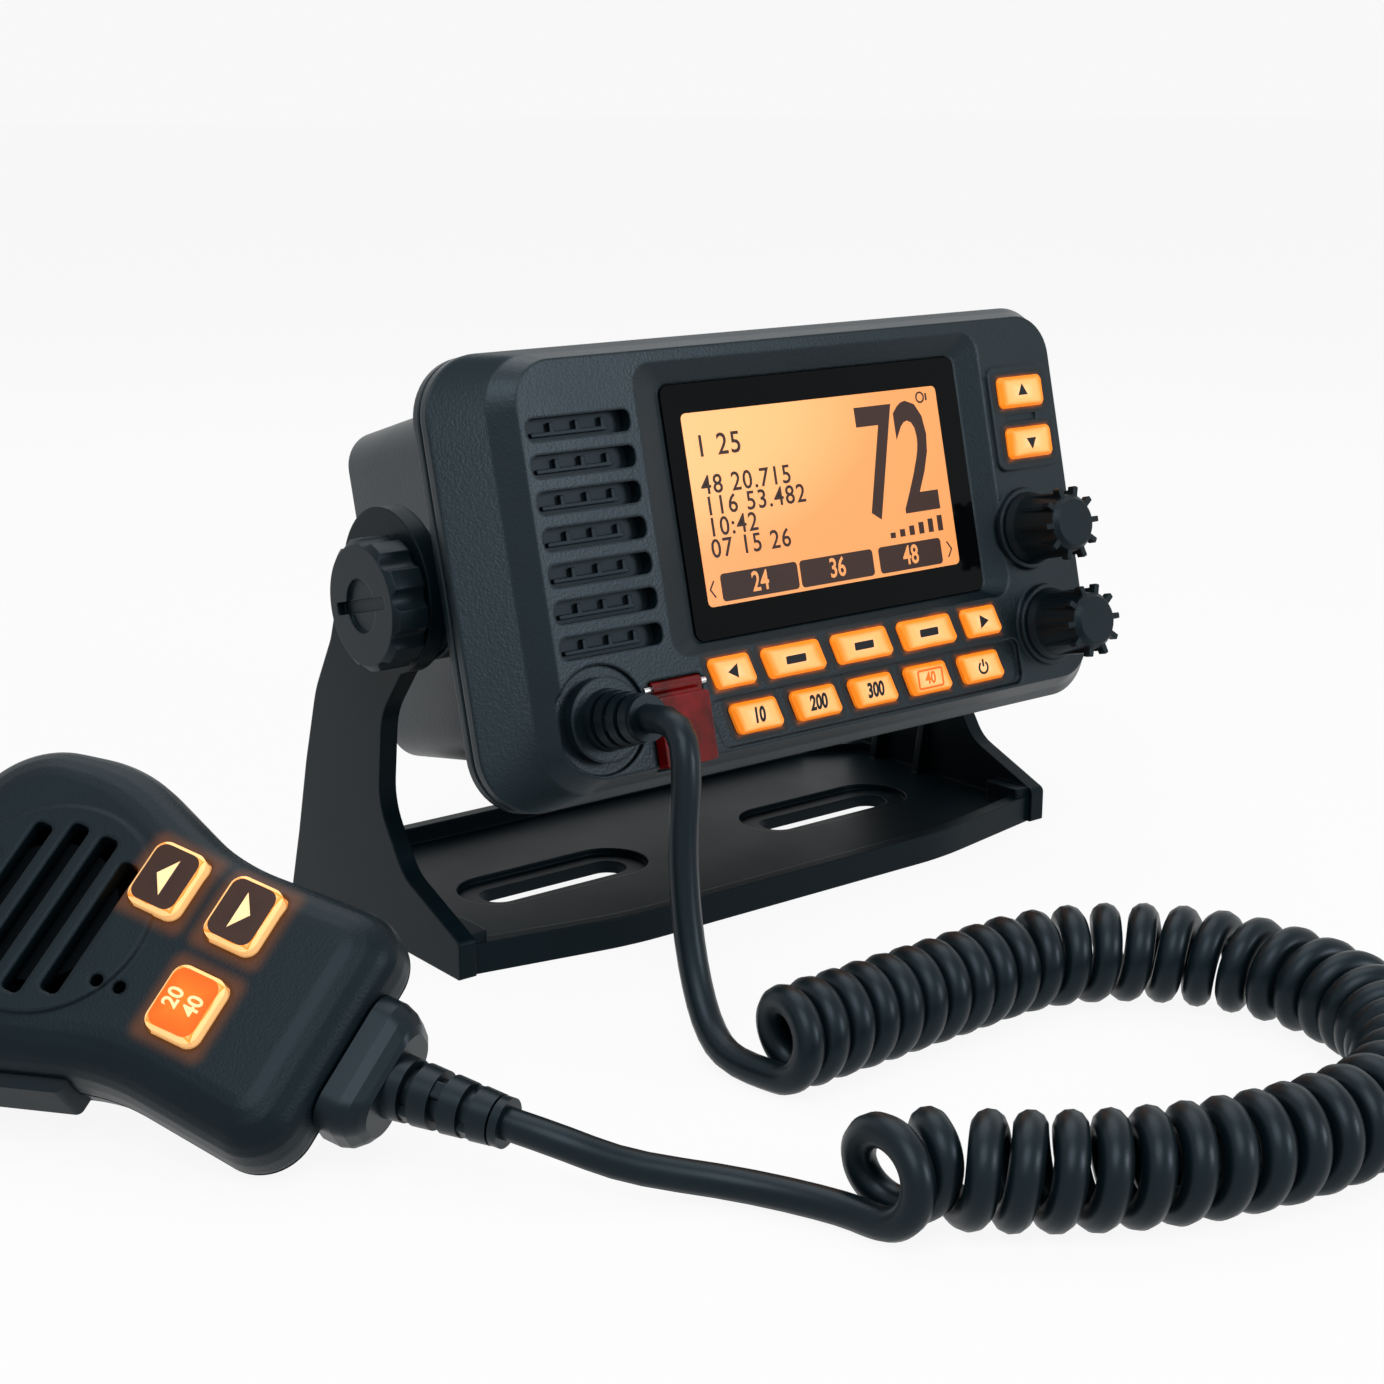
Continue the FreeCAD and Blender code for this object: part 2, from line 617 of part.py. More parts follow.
def mic_back_shell():
    top = mic_joint_z - 0.6
    belly = [(1.1, -23.4, -14.4), (3.6, -27.6, -16.7), (6.0, -30.8, -18.7), (9.0, -33.0, -20.0)]
    outer = Part.makeLoft([rounded_wire(mic_outline(0.0), top)]
                          + [sloped(mic_outline(inset), head, tail) for inset, head, tail in belly], True, True)
    inner = Part.makeLoft([rounded_wire(mic_outline(mic_wall), top + 0.1), sloped(mic_outline(3.4), -22.6, -13.6),
                           sloped(mic_outline(10.0), -30.8, -17.8)], True, True)
    body = outer.cut(inner)
    body = fuse([body] + [rod(2.6, x, y, -17.0 if x > 0 else -27.0, top) for x, y in mic_screw_places()])
    for x, y in mic_screw_places():
        seat = -13.5 if x > 0 else -22.0
        body = body.cut([rod(1.2, x, y, -40.0, top + 1), rod(2.1, x, y, -40.0, seat)])
    return body.cut([talk_opening(), rod(3.2, 5.0, 0, -31.0, -22.6)])


def mic_screws():
    screws = []
    for x, y in mic_screw_places():
        bottom = -13.5 if x > 0 else -22.0
        screws.append(fuse([rod(1.15, x, y, bottom, -4.6), rod(2.0, x, y, bottom - 1.4, bottom)]))
    return Part.Compound(screws)


def mic_stud():
    return fuse([rod(3.2, 5.0, 0, -31.0, -22.6), cone(6.0, 6.6, 5.0, 0, -33.6, -31.0)])


def mic_speaker():
    return fuse([rod(13.0, mic_speaker_x - 1.5, mic_speaker_y, -6.0, -2.6),
                 rod(7.5, mic_speaker_x - 1.5, mic_speaker_y, -12.0, -6.0)])


def mic_board():
    board = slab(-14.0, -18.0, 22.5, 18.0, 1.5, -9.8, -8.2)
    return board.cut([rod(3.0, 21.0, side * 17.5, -10, -8) for side in (-1, 1)])


def mic_key(x, y, top):
    body = fuse([mic_key_block(x, y, 0, -4.4, top - 0.8), mic_key_block(x, y, 0.9, -4.4, -3.4)])
    crown = stack([(rectangle(x - 5.2, y - 6.2, x + 5.2, y + 6.2, 2.4), top - 0.8),
                   (rectangle(x - 4.4, y - 5.4, x + 4.4, y + 5.4, 1.8), top)])
    return fuse([body, crown])


def mic_cable_block():
    sizes = [(12.6, 7.6, 5.0, 0.0), (12.6, 7.6, 5.0, 3.4), (12.0, 7.1, 5.0, 5.4), (10.6, 6.4, 4.8, 7.1),
             (9.2, 5.9, 4.6, 8.0)]
    body = stack([(rectangle(-x, -y, x, y, radius), z) for x, y, radius, z in sizes])
    body.rotate(Vec(0, 0, 0), Vec(1, 1, 1), 120)
    body.translate(Vec(27.0, 0, -12.4))
    return body


mic_relief_start = Vec(34.6, 0, -12.4)
mic_relief_aim = Vec(26.0, 2.0, 3.5)
mic_relief_length = 22.0


def mic_strain_relief():
    sleeve = ribbed_relief(mic_relief_length, 5.8, 4.7, 4)
    turn = FreeCAD.Rotation(Vec(0, 0, 1), mic_relief_aim)
    sleeve.Placement = FreeCAD.Placement(mic_relief_start, turn)
    return sleeve.cut(mic_cable_block())


# Cord

def lead_tube(points, name):
    # Straight runs joined by tangent arcs, each as large as its two runs allow
    edges = []
    radii = []
    here = points[0]
    for i in range(1, len(points) - 1):
        before = points[i - 1] - points[i]
        after = points[i + 1] - points[i]
        shorter = min(before.Length, after.Length)
        turn = math.pi - before.getAngle(after)
        radius = 0.45 * shorter / math.tan(turn / 2)
        radii.append(round(radius, 1))
        back = Vec(before)
        back.normalize()
        ahead = Vec(after)
        ahead.normalize()
        start = points[i] + back * (0.45 * shorter)
        end = points[i] + ahead * (0.45 * shorter)
        inward = back + ahead
        inward.normalize()
        sag = radius / math.cos(turn / 2) - radius
        middle = points[i] + inward * sag
        edges.append(Part.LineSegment(here, start).toShape())
        edges.append(Part.Arc(start, middle, end).toShape())
        here = end
    edges.append(Part.LineSegment(here, points[-1]).toShape())
    path = Part.Wire(edges)
    length = path.Length
    aim = points[1] - points[0]
    profile = Part.Wire(Part.makeCircle(wire_diameter / 2, points[0], aim))
    tube = path.makePipeShell([profile], True, False)
    section = math.pi * wire_diameter ** 2 / 4
    print(name, "length", round(length, 1), "radii", radii, "volume ratio",
          round(tube.Volume / (section * length), 4))
    return tube


# The curls run from the microphone's end along two bends and a straight, in plan
wide_centre = Vec(-12.0, -91.5, 0)
wide_radius = 90.0
wide_start = math.radians(210.9)
tight_centre = Vec(-12.0, -140.0, 0)
tight_radius = 41.5
straight_length = 56.0
wide_length = wide_radius * (math.radians(270) - wide_start)
tight_length = tight_radius * math.pi
curl_run = wide_length + tight_length + straight_length
open_share = 0.60           # the first curls at the microphone's end are wound this loosely
open_length = 9.0
close_length = 6.0
first_curl_lean = math.radians(74)   # the lead pulls the first curl round by this much
lean_turns = 1.8


def curl_axis(s):
    # Point and direction on the axis of the curls, s from the microphone's end
    if s < wide_length:
        angle = wide_start + s / wide_radius
        point = wide_centre + Vec(math.cos(angle), math.sin(angle), 0) * wide_radius
        return point, Vec(-math.sin(angle), math.cos(angle), 0)
    if s < wide_length + tight_length:
        angle = -math.pi / 2 + (s - wide_length) / tight_radius
        point = tight_centre + Vec(math.cos(angle), math.sin(angle), 0) * tight_radius
        return point, Vec(-math.sin(angle), math.cos(angle), 0)
    left = s - wide_length - tight_length
    return tight_centre + Vec(-left, tight_radius, 0), Vec(-1, 0, 0)


def curl_density(s):
    # Curls per millimetre of axis: close on the straight, opened out round the tight bend
    spread = 14.0
    into_bend = min(max((s - wide_length + spread / 2) / spread, 0), 1)
    out_of_bend = min(max((s - wide_length - tight_length + spread / 2) / spread, 0), 1)
    pitch = 6.7 + (7.45 - 6.7) * into_bend + (6.2 - 7.45) * out_of_bend
    closed = min(max((s - open_length) / close_length, 0), 1)
    return (open_share + (1 - open_share) * closed) / pitch


def curl_table():
    # Turns wound by each point of the axis, scaled to whole curls
    step = 0.1
    count = int(round(curl_run / step))
    step = curl_run / count
    table = [0.0]
    for i in range(count):
        table.append(table[-1] + curl_density((i + 0.5) * step) * step)
    scale = curl_turns / table[-1]
    return step, [value * scale for value in table]


def curl_point(s, turns):
    centre, aim = curl_axis(s)
    lean = first_curl_lean * max(0, 1 - turns / lean_turns) ** 2
    side = aim.cross(Vec(0, 0, 1)) * math.cos(lean) + aim * math.sin(lean)
    angle = 2 * math.pi * turns
    return centre + side * (curl_radius * math.sin(angle)) + Vec(0, 0, curl_height - curl_radius * math.cos(angle))


def curl_stations(per_turn):
    # Position and direction of the wire at equal parts of a turn
    step, table = curl_table()

    def turns_at(s):
        place = min(max(s / step, 0), len(table) - 1.001)
        low = int(place)
        return table[low] + (table[low + 1] - table[low]) * (place - low)

    stations = []
    row = 0
    for k in range(curl_turns * per_turn + 1):
        wanted = k / per_turn
        while row < len(table) - 2 and table[row + 1] < wanted:
            row += 1
        share = (wanted - table[row]) / (table[row + 1] - table[row])
        s = (row + share) * step
        near = 0.02
        low = min(max(s - near, 0), curl_run)
        high = min(max(s + near, 0), curl_run)
        aim = curl_point(high, turns_at(high)) - curl_point(low, turns_at(low))
        aim.normalize()
        stations.append((curl_point(s, wanted), aim))
    return stations


def arc_from(start, aim, end):
    chord = end - start
    along = Vec(chord)
    along.normalize()
    bend = aim.getAngle(chord)
    lift = aim - along * aim.dot(along)
    lift.normalize()
    middle = (start + end) * 0.5 + lift * (chord.Length / 2 * math.tan(bend / 2))
    return Part.Arc(start, middle, end).toShape()


def biarc(p0, t0, p1, t1):
    # Two tangent arcs between two points with given directions
    v = p1 - p0
    both = t0 + t1
    bend = 2 * (1 - t0.dot(t1))
    reach = (-v.dot(both) + math.sqrt(v.dot(both) ** 2 + bend * v.dot(v))) / bend
    joint = (p0 + p1 + (t0 - t1) * reach) * 0.5
    end_arc = arc_from(p1, t1 * -1.0, joint)
    return [arc_from(p0, t0, joint), Part.Edge(end_arc)], joint


def curl_tube(per_turn):
    stations = curl_stations(per_turn)
    first, aim = stations[0]
    edges = [Part.LineSegment(first - aim * wire_diameter, first).toShape()]
    points = []
    for (p0, t0), (p1, t1) in zip(stations, stations[1:]):
        pair, joint = biarc(p0, t0, p1, t1)
        edges += pair
        points += [p0, joint]
    last, out = stations[-1]
    edges.append(Part.LineSegment(last, last + out * wire_diameter).toShape())
    path = Part.Wire(edges)
    profile = Part.Wire(Part.makeCircle(wire_diameter / 2, first - aim * wire_diameter, aim))
    tube = path.makePipeShell([profile], True, False)
    section = math.pi * wire_diameter ** 2 / 4
    print("curls", curl_turns, "length", round(path.Length, 1), "volume ratio",
          round(tube.Volume / (section * path.Length), 4))
    return tube, edges, first - aim * wire_diameter, last + out * wire_diameter, aim, out


def least_gap(edges):
    # Nearest approach of the wire to itself, on points along its middle line
    points = []
    for edge in edges:
        points += edge.discretize(6)[:-1]
    skip = 12
    cells = {}
    size = wire_diameter * 1.5
    for i, p in enumerate(points):
        cells.setdefault((int(p.x // size), int(p.y // size), int(p.z // size)), []).append(i)
    least = 1e9
    for i, p in enumerate(points):
        cx, cy, cz = int(p.x // size), int(p.y // size), int(p.z // size)
        for dx in (-1, 0, 1):
            for dy in (-1, 0, 1):
                for dz in (-1, 0, 1):
                    for j in cells.get((cx + dx, cy + dy, cz + dz), []):
                        if j - i > skip:
                            least = min(least, (points[j] - p).Length)
    return least - wire_diameter


written = {}
os.makedirs("parts", exist_ok=True)

write("front_bezel", front_bezel(), radio_pose)
write("rear_case", rear_case(), radio_pose)
write("case_gasket", case_gasket(), radio_pose)
write("case_screws", case_screws(), radio_pose)
write("display_lens", display_lens(), radio_pose)
write("lcd_panel", lcd_panel(), radio_pose)
write("display_board", display_board(), radio_pose)
write("main_board", main_board(), radio_pose)
write("keypad_mat", keypad_mat(), radio_pose)
write("side_keypad_mat", side_keypad_mat(), radio_pose)
write("speaker_baffle", speaker_baffle(), radio_pose)
write("speaker", speaker(), radio_pose)
write("jack_collar", jack_collar(), radio_pose)
write("radio_strain_relief", radio_strain_relief(), radio_pose)
write("antenna_jack", antenna_jack(), radio_pose)
write("power_gland", power_gland(), radio_pose)
write("guard_cover", guard_cover(), radio_pose)
write("guard_pin", guard_pin(), radio_pose)
write("guarded_button", guarded_button(), radio_pose)
for key_name, key_corners, key_top in key_outlines():
    write(key_name, front_key(key_corners, key_top), radio_pose)
for knob_name, (knob_x, knob_y) in knob_places.items():
    write(knob_name + "_knob", knob(knob_x, knob_y), radio_pose)
    write(knob_name + "_encoder", encoder(knob_x, knob_y), radio_pose)
for side_name, side_sign in (("left", -1), ("right", 1)):
    write("gimbal_knob_" + side_name, clamp_knob(side_sign), radio_pose)
    write("gimbal_washer_" + side_name, clamp_washer(side_sign), radio_pose)
write("gimbal_bracket", gimbal_bracket())

write("mic_front_shell", mic_front_shell(), mic_pose)
write("mic_back_shell", mic_back_shell(), mic_pose)
write("mic_gasket", mic_gasket(), mic_pose)
write("mic_screws", mic_screws(), mic_pose)
write("mic_stud", mic_stud(), mic_pose)
write("mic_speaker", mic_speaker(), mic_pose)
write("mic_board", mic_board(), mic_pose)
write("mic_cable_block", mic_cable_block(), mic_pose)
write("mic_strain_relief", mic_strain_relief(), mic_pose)
write("mic_talk_bar", talk_bar(), mic_pose)
for key_name, key_x, key_y in mic_keys():
    write(key_name, mic_key(key_x, key_y, 2.4), mic_pose)

coil, coil_edges, mic_end, radio_end, mic_end_aim, radio_end_aim = curl_tube(2)
write("curly_cord", coil)
print("least gap between curls", round(least_gap(coil_edges), 2))

relief_tip = radio_pose.multVec(Vec(jack_x, jack_y, relief_base_z + relief_length))
relief_aim = radio_pose.Rotation.multVec(Vec(0, 0, 1))
drop_points = [relief_tip, relief_tip + relief_aim * 10.0, Vec(-61.6, -64.5, 51.0), Vec(-63.6, -65.3, 39.0),
               Vec(-65.2, -68.2, 26.0), Vec(-66.6, -72.8, 14.0), Vec(-68.6, -79.6, 6.0),
               radio_end + radio_end_aim * 6.0, radio_end]
write("drop_lead", lead_tube(drop_points, "drop lead"))

aim_out = Vec(mic_relief_aim)
aim_out.normalize()
mic_tip = mic_pose.multVec(mic_relief_start + aim_out * mic_relief_length)
mic_aim = mic_pose.Rotation.multVec(aim_out)
mic_points = [mic_tip, mic_tip + mic_aim * 9.0, Vec(-112.5, -113.6, 5.6), Vec(-103.2, -119.6, 3.4),
              mic_end - mic_end_aim * 8.0, mic_end]
write("mic_lead", lead_tube(mic_points, "microphone lead"))
for route_name, route in (("drop", drop_points), ("mic", mic_points)):
    print(route_name, "route", [tuple(round(c, 2) for c in p) for p in route])

for name, shape in sorted(written.items()):
    if not shape.isValid() or shape.BoundBox.ZMin < 0:
        print(name, "valid", shape.isValid(), "lowest", round(shape.BoundBox.ZMin, 3))
print("nodes", len(written))
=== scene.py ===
import math

import bmesh
import bpy
from mathutils import Matrix, Vector


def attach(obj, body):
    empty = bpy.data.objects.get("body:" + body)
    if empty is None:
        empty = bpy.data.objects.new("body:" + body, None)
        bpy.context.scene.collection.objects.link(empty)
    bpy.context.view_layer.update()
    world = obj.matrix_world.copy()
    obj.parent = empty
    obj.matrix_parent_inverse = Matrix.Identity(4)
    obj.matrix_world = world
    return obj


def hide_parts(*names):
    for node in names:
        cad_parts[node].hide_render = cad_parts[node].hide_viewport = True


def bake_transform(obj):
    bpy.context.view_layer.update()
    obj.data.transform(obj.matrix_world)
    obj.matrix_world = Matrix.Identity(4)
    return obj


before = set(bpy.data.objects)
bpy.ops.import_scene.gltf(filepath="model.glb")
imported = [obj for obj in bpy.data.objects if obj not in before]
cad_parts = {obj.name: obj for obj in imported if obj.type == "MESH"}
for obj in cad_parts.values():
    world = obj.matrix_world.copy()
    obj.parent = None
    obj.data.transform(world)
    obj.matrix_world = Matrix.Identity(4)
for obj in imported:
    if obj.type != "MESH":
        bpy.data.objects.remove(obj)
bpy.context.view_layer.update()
scene = bpy.context.scene
mm = 0.001

# The two places that details are laid out in: the radio's front panel and the microphone's face
panelTilt = math.radians(14.04)
pivotHeight = 75.5 * mm
onPanel = Matrix.Translation((0, 0, pivotHeight)) @ Matrix.Rotation(math.pi / 2 - panelTilt, 4, "X")
onMic = (Matrix.Translation((-0.1567, -0.0548, 0.0308)) @ Matrix.Rotation(math.radians(-62.48), 4, "Z")
         @ Matrix.Rotation(math.radians(14.5), 4, "Y") @ Matrix.Rotation(math.radians(43.0), 4, "X"))
print("frame loaded:", len(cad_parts), "nodes")

# Camera
viewSettings = {"place": (-0.3126, -0.3858, 0.1766), "dip": 0.264, "heading": -0.665, "lens": 59.32, "sensor": 36.0,
                "nearest": 0.01}
cameraData = bpy.data.cameras.new("camera")
cameraData.lens = viewSettings["lens"]
cameraData.sensor_width = viewSettings["sensor"]
cameraData.clip_start = viewSettings["nearest"]
camera = bpy.data.objects.new("camera", cameraData)
camera.location = viewSettings["place"]
camera.rotation_euler = (math.pi / 2 - viewSettings["dip"], 0, viewSettings["heading"])
scene.collection.objects.link(camera)
scene.camera = camera

# Cord: the lead that drops from the radio, the curls, and the lead to the microphone, all one line
cordSettings = {
    "diameter": 5.6 * mm,
    "curlRadius": 7.0 * mm,
    "curlClearance": 0.12 * mm,
    "turns": 40,
    "pointsPerTurn": 16,
    "pitches": (6.7, 7.45, 6.2),         # wide bend, tight bend, straight
    "openShare": 0.62,                   # the first curls are wound this loosely
    "openLength": 15.6 * mm,
    "closeLength": 11.8 * mm,
    "firstLean": math.radians(61),       # the lead pulls the first curl round by this much
    "leanHeld": 0.65,
    "leanTurns": 2.77,
    "firstShift": Vector((-0.9, -10.8, 0)) * mm,
    "shiftTurns": 1.07,
    "roundness": 1.03,                   # makes up for the flats of the tube's section
    "sides": 4,                          # bevel resolution
    "smoothness": 3,                     # points that the spline adds between two of its own
    "nearestPoints": 0.05 * mm,          # two points of the path nearer than this are one
    "bendSpread": 0.014,                 # the pitch changes over this length of axis
    "straightRun": 0.056,
    "steps": 3000,                       # steps along the axis that the curls are counted in
}
dropRoute = [(-59.7, -49.79, 57.75), (-59.7, -59.49, 60.18), (-61.6, -64.5, 51.0), (-63.6, -65.3, 39.0),
             (-65.2, -68.2, 26.0), (-66.6, -72.8, 14.0), (-68.6, -79.6, 6.0), (-69.61, -87.01, 2.8)]
micRoute = [(-125.35, -98.34, 11.09), (-121.5, -106.42, 10.16), (-113.0, -114.0, 5.6), (-99.2, -125.9, 3.2),
            (-91.1, -141.6, 2.86)]
wideBend = {"centre": Vector((-0.012, -0.0915, 0)), "radius": 0.090, "start": math.radians(210.9)}
tightBend = {"centre": Vector((-0.012, -0.140, 0)), "radius": 0.0415}
wideLength = wideBend["radius"] * (math.radians(270) - wideBend["start"])
tightLength = tightBend["radius"] * math.pi
curlRun = wideLength + tightLength + cordSettings["straightRun"]


def curlAxis(s):
    # Middle of the curls at the length s, and the way they run there
    if s < wideLength:
        angle = wideBend["start"] + s / wideBend["radius"]
        radial = Vector((math.cos(angle), math.sin(angle), 0))
        return wideBend["centre"] + radial * wideBend["radius"], Vector((-radial.y, radial.x, 0))
    if s < wideLength + tightLength:
        angle = -math.pi / 2 + (s - wideLength) / tightBend["radius"]
        radial = Vector((math.cos(angle), math.sin(angle), 0))
        return tightBend["centre"] + radial * tightBend["radius"], Vector((-radial.y, radial.x, 0))
    left = s - wideLength - tightLength
    return tightBend["centre"] + Vector((-left, tightBend["radius"], 0)), Vector((-1, 0, 0))


def curlDensity(s):
    # Curls per metre of axis: close on the straight, opened out round the tight bend
    first, middle, last = cordSettings["pitches"]
    spread = cordSettings["bendSpread"]
    intoBend = min(max((s - wideLength) / spread + 0.5, 0), 1)
    outOfBend = min(max((s - wideLength - tightLength) / spread + 0.5, 0), 1)
    pitch = first + (middle - first) * intoBend + (last - middle) * outOfBend
    closed = min(max((s - cordSettings["openLength"]) / cordSettings["closeLength"], 0), 1)
    openShare = cordSettings["openShare"]
    return (openShare + (1 - openShare) * closed) / (pitch * mm)


def easedShare(share):
    # 0 to 1 with a soft start and end
    share = min(max(share, 0), 1)
    return share * share * (3 - 2 * share)


def curlPoints():
    # Control points round each curl, from the end near the microphone
    steps = cordSettings["steps"]
    step = curlRun / steps
    wound = [0.0]
    for i in range(steps):
        wound.append(wound[-1] + curlDensity((i + 0.5) * step) * step)
    scale = cordSettings["turns"] / wound[-1]
    count = cordSettings["turns"] * cordSettings["pointsPerTurn"]
    height = cordSettings["curlRadius"] + cordSettings["diameter"] / 2 + cordSettings["curlClearance"]
    points = []
    row = 0
    for k in range(count + 1):
        turns = k / cordSettings["pointsPerTurn"]
        wanted = turns / scale
        while row < steps - 1 and wound[row + 1] < wanted:
            row += 1
        share = (wanted - wound[row]) / (wound[row + 1] - wound[row])
        centre, aim = curlAxis((row + share) * step)
        leanShare = (cordSettings["leanTurns"] - turns) / (cordSettings["leanTurns"] - cordSettings["leanHeld"])
        lean = cordSettings["firstLean"] * easedShare(leanShare)
        centre = centre + cordSettings["firstShift"] * easedShare(1 - turns / cordSettings["shiftTurns"])
        side = aim.cross(Vector((0, 0, 1))) * math.cos(lean) + aim * math.sin(lean)
        angle = 2 * math.pi * turns
        points.append(centre + side * (cordSettings["curlRadius"] * math.sin(angle))
                      + Vector((0, 0, height - cordSettings["curlRadius"] * math.cos(angle))))
    return points


def cordLine(name, points, bevel):
    data = bpy.data.curves.new(name, "CURVE")
    data.dimensions = "3D"
    spline = data.splines.new("NURBS")
    spline.points.add(len(points) - 1)
    for place, point in zip(spline.points, points):
        place.co = (*point, 1)
    spline.order_u = 3
    spline.use_endpoint_u = True
    data.resolution_u = cordSettings["smoothness"]
    data.bevel_depth = bevel
    data.bevel_resolution = cordSettings["sides"]
    data.use_fill_caps = bevel > 0
    curve = bpy.data.objects.new(name, data)
    scene.collection.objects.link(curve)
    bpy.context.view_layer.update()
    mesh = bpy.data.meshes.new_from_object(curve)
    bpy.data.objects.remove(curve)
    return mesh


def makeCord():
    points = [Vector(p) * mm for p in dropRoute]
    points += list(reversed(curlPoints()))
    points += [Vector(p) * mm for p in reversed(micRoute)]
    line = cordLine("cordPath", points, 0.0)
    path = []
    for vertex in line.vertices:
        if not path or (vertex.co - path[-1]).length > cordSettings["nearestPoints"]:
            path.append(vertex.co.copy())
    tube = cordLine("curlyCord", points, cordSettings["diameter"] / 2 * cordSettings["roundness"])
    tube.shade_smooth()
    cord = bpy.data.objects.new("curlyCord", tube)
    scene.collection.objects.link(cord)
    length = sum((b - a).length for a, b in zip(path, path[1:]))
    print("cord made:", round(length, 3), "m,", len(tube.polygons), "faces")
    return cord, path


curlyCord, cordPath = makeCord()
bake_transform(curlyCord)
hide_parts("drop_lead", "curly_cord", "mic_lead")


# Materials
def newMaterial(name):
    material = bpy.data.materials.new(name)
    material.use_nodes = True
    tree = material.node_tree
    return material, tree.nodes, tree.links, tree.nodes["Principled BSDF"]


def addNode(nodes, kind, **values):
    node = nodes.new(kind)
    for key, value in values.items():
        if hasattr(node, key):
            setattr(node, key, value)
        else:
            node.inputs[key.replace("_", " ")].default_value = value
    return node


def ramped(nodes, *stops):
    # Colour ramp from its positions and colours, the first and last of them its ends
    ramp = nodes.new("ShaderNodeValToRGB")
    elements = ramp.color_ramp.elements
    for element, (position, colour) in zip(elements, (stops[0], stops[-1])):
        element.position = position
        element.color = (*colour, 1)
    for position, colour in stops[1:-1]:
        elements.new(position).color = (*colour, 1)
    return ramp


def varyGloss(nodes, links, noise, shader, least, most):
    gloss = nodes.new("ShaderNodeMapRange")
    gloss.inputs["To Min"].default_value = least
    gloss.inputs["To Max"].default_value = most
    links.new(noise.outputs["Fac"], gloss.inputs["Value"])
    links.new(gloss.outputs["Result"], shader.inputs["Roughness"])


def boxSpace(nodes, links, where, place, centre, scale=(1, 1, 1)):
    # Object coordinates measured from a place on the panel or the microphone
    local = nodes.new("ShaderNodeMapping")
    local.vector_type = "TEXTURE"
    local.inputs["Location"].default_value = place @ Vector(centre)
    local.inputs["Rotation"].default_value = place.to_euler()
    local.inputs["Scale"].default_value = scale
    links.new(where.outputs["Object"], local.inputs["Vector"])
    return local


mouldedSettings = {
    "darker": 0.82, "lighter": 1.18, "rampStart": 0.3, "rampEnd": 0.7, "mottle": 55.0,
    "smoother": 0.05, "rougher": 0.07, "bumpDepth": 0.0001, "bevelSamples": 6,
    "specular": 0.24, "specularTint": (0.68, 0.86, 1.0, 1),
}


def moulded(name, settings):
    # Moulded plastic or rubber: fine grain, a little mottling, edges rounded off by the mould
    material, nodes, links, shader = newMaterial(name)
    shared = mouldedSettings
    where = nodes.new("ShaderNodeTexCoord")
    grain = addNode(nodes, "ShaderNodeTexNoise", Scale=settings["grain"], Detail=2.0)
    mottle = addNode(nodes, "ShaderNodeTexNoise", Scale=shared["mottle"], Detail=4.0)
    links.new(where.outputs["Object"], grain.inputs["Vector"])
    links.new(where.outputs["Object"], mottle.inputs["Vector"])
    dark = [c * shared["darker"] for c in settings["colour"]]
    light = [c * shared["lighter"] for c in settings["colour"]]
    tint = ramped(nodes, (shared["rampStart"], dark), (shared["rampEnd"], light))
    links.new(mottle.outputs["Fac"], tint.inputs["Fac"])
    links.new(tint.outputs["Color"], shader.inputs["Base Color"])
    varyGloss(nodes, links, mottle, shader, settings["roughness"] - shared["smoother"],
              settings["roughness"] + shared["rougher"])
    bump = addNode(nodes, "ShaderNodeBump", Strength=settings["bump"], Distance=shared["bumpDepth"])
    links.new(grain.outputs["Fac"], bump.inputs["Height"])
    if "edge" in settings:
        edge = addNode(nodes, "ShaderNodeBevel", samples=shared["bevelSamples"], Radius=settings["edge"])
        links.new(edge.outputs["Normal"], bump.inputs["Normal"])
    links.new(bump.outputs["Normal"], shader.inputs["Normal"])
    shader.inputs["Specular IOR Level"].default_value = settings.get("specular", shared["specular"])
    shader.inputs["Specular Tint"].default_value = shared["specularTint"]
    return material


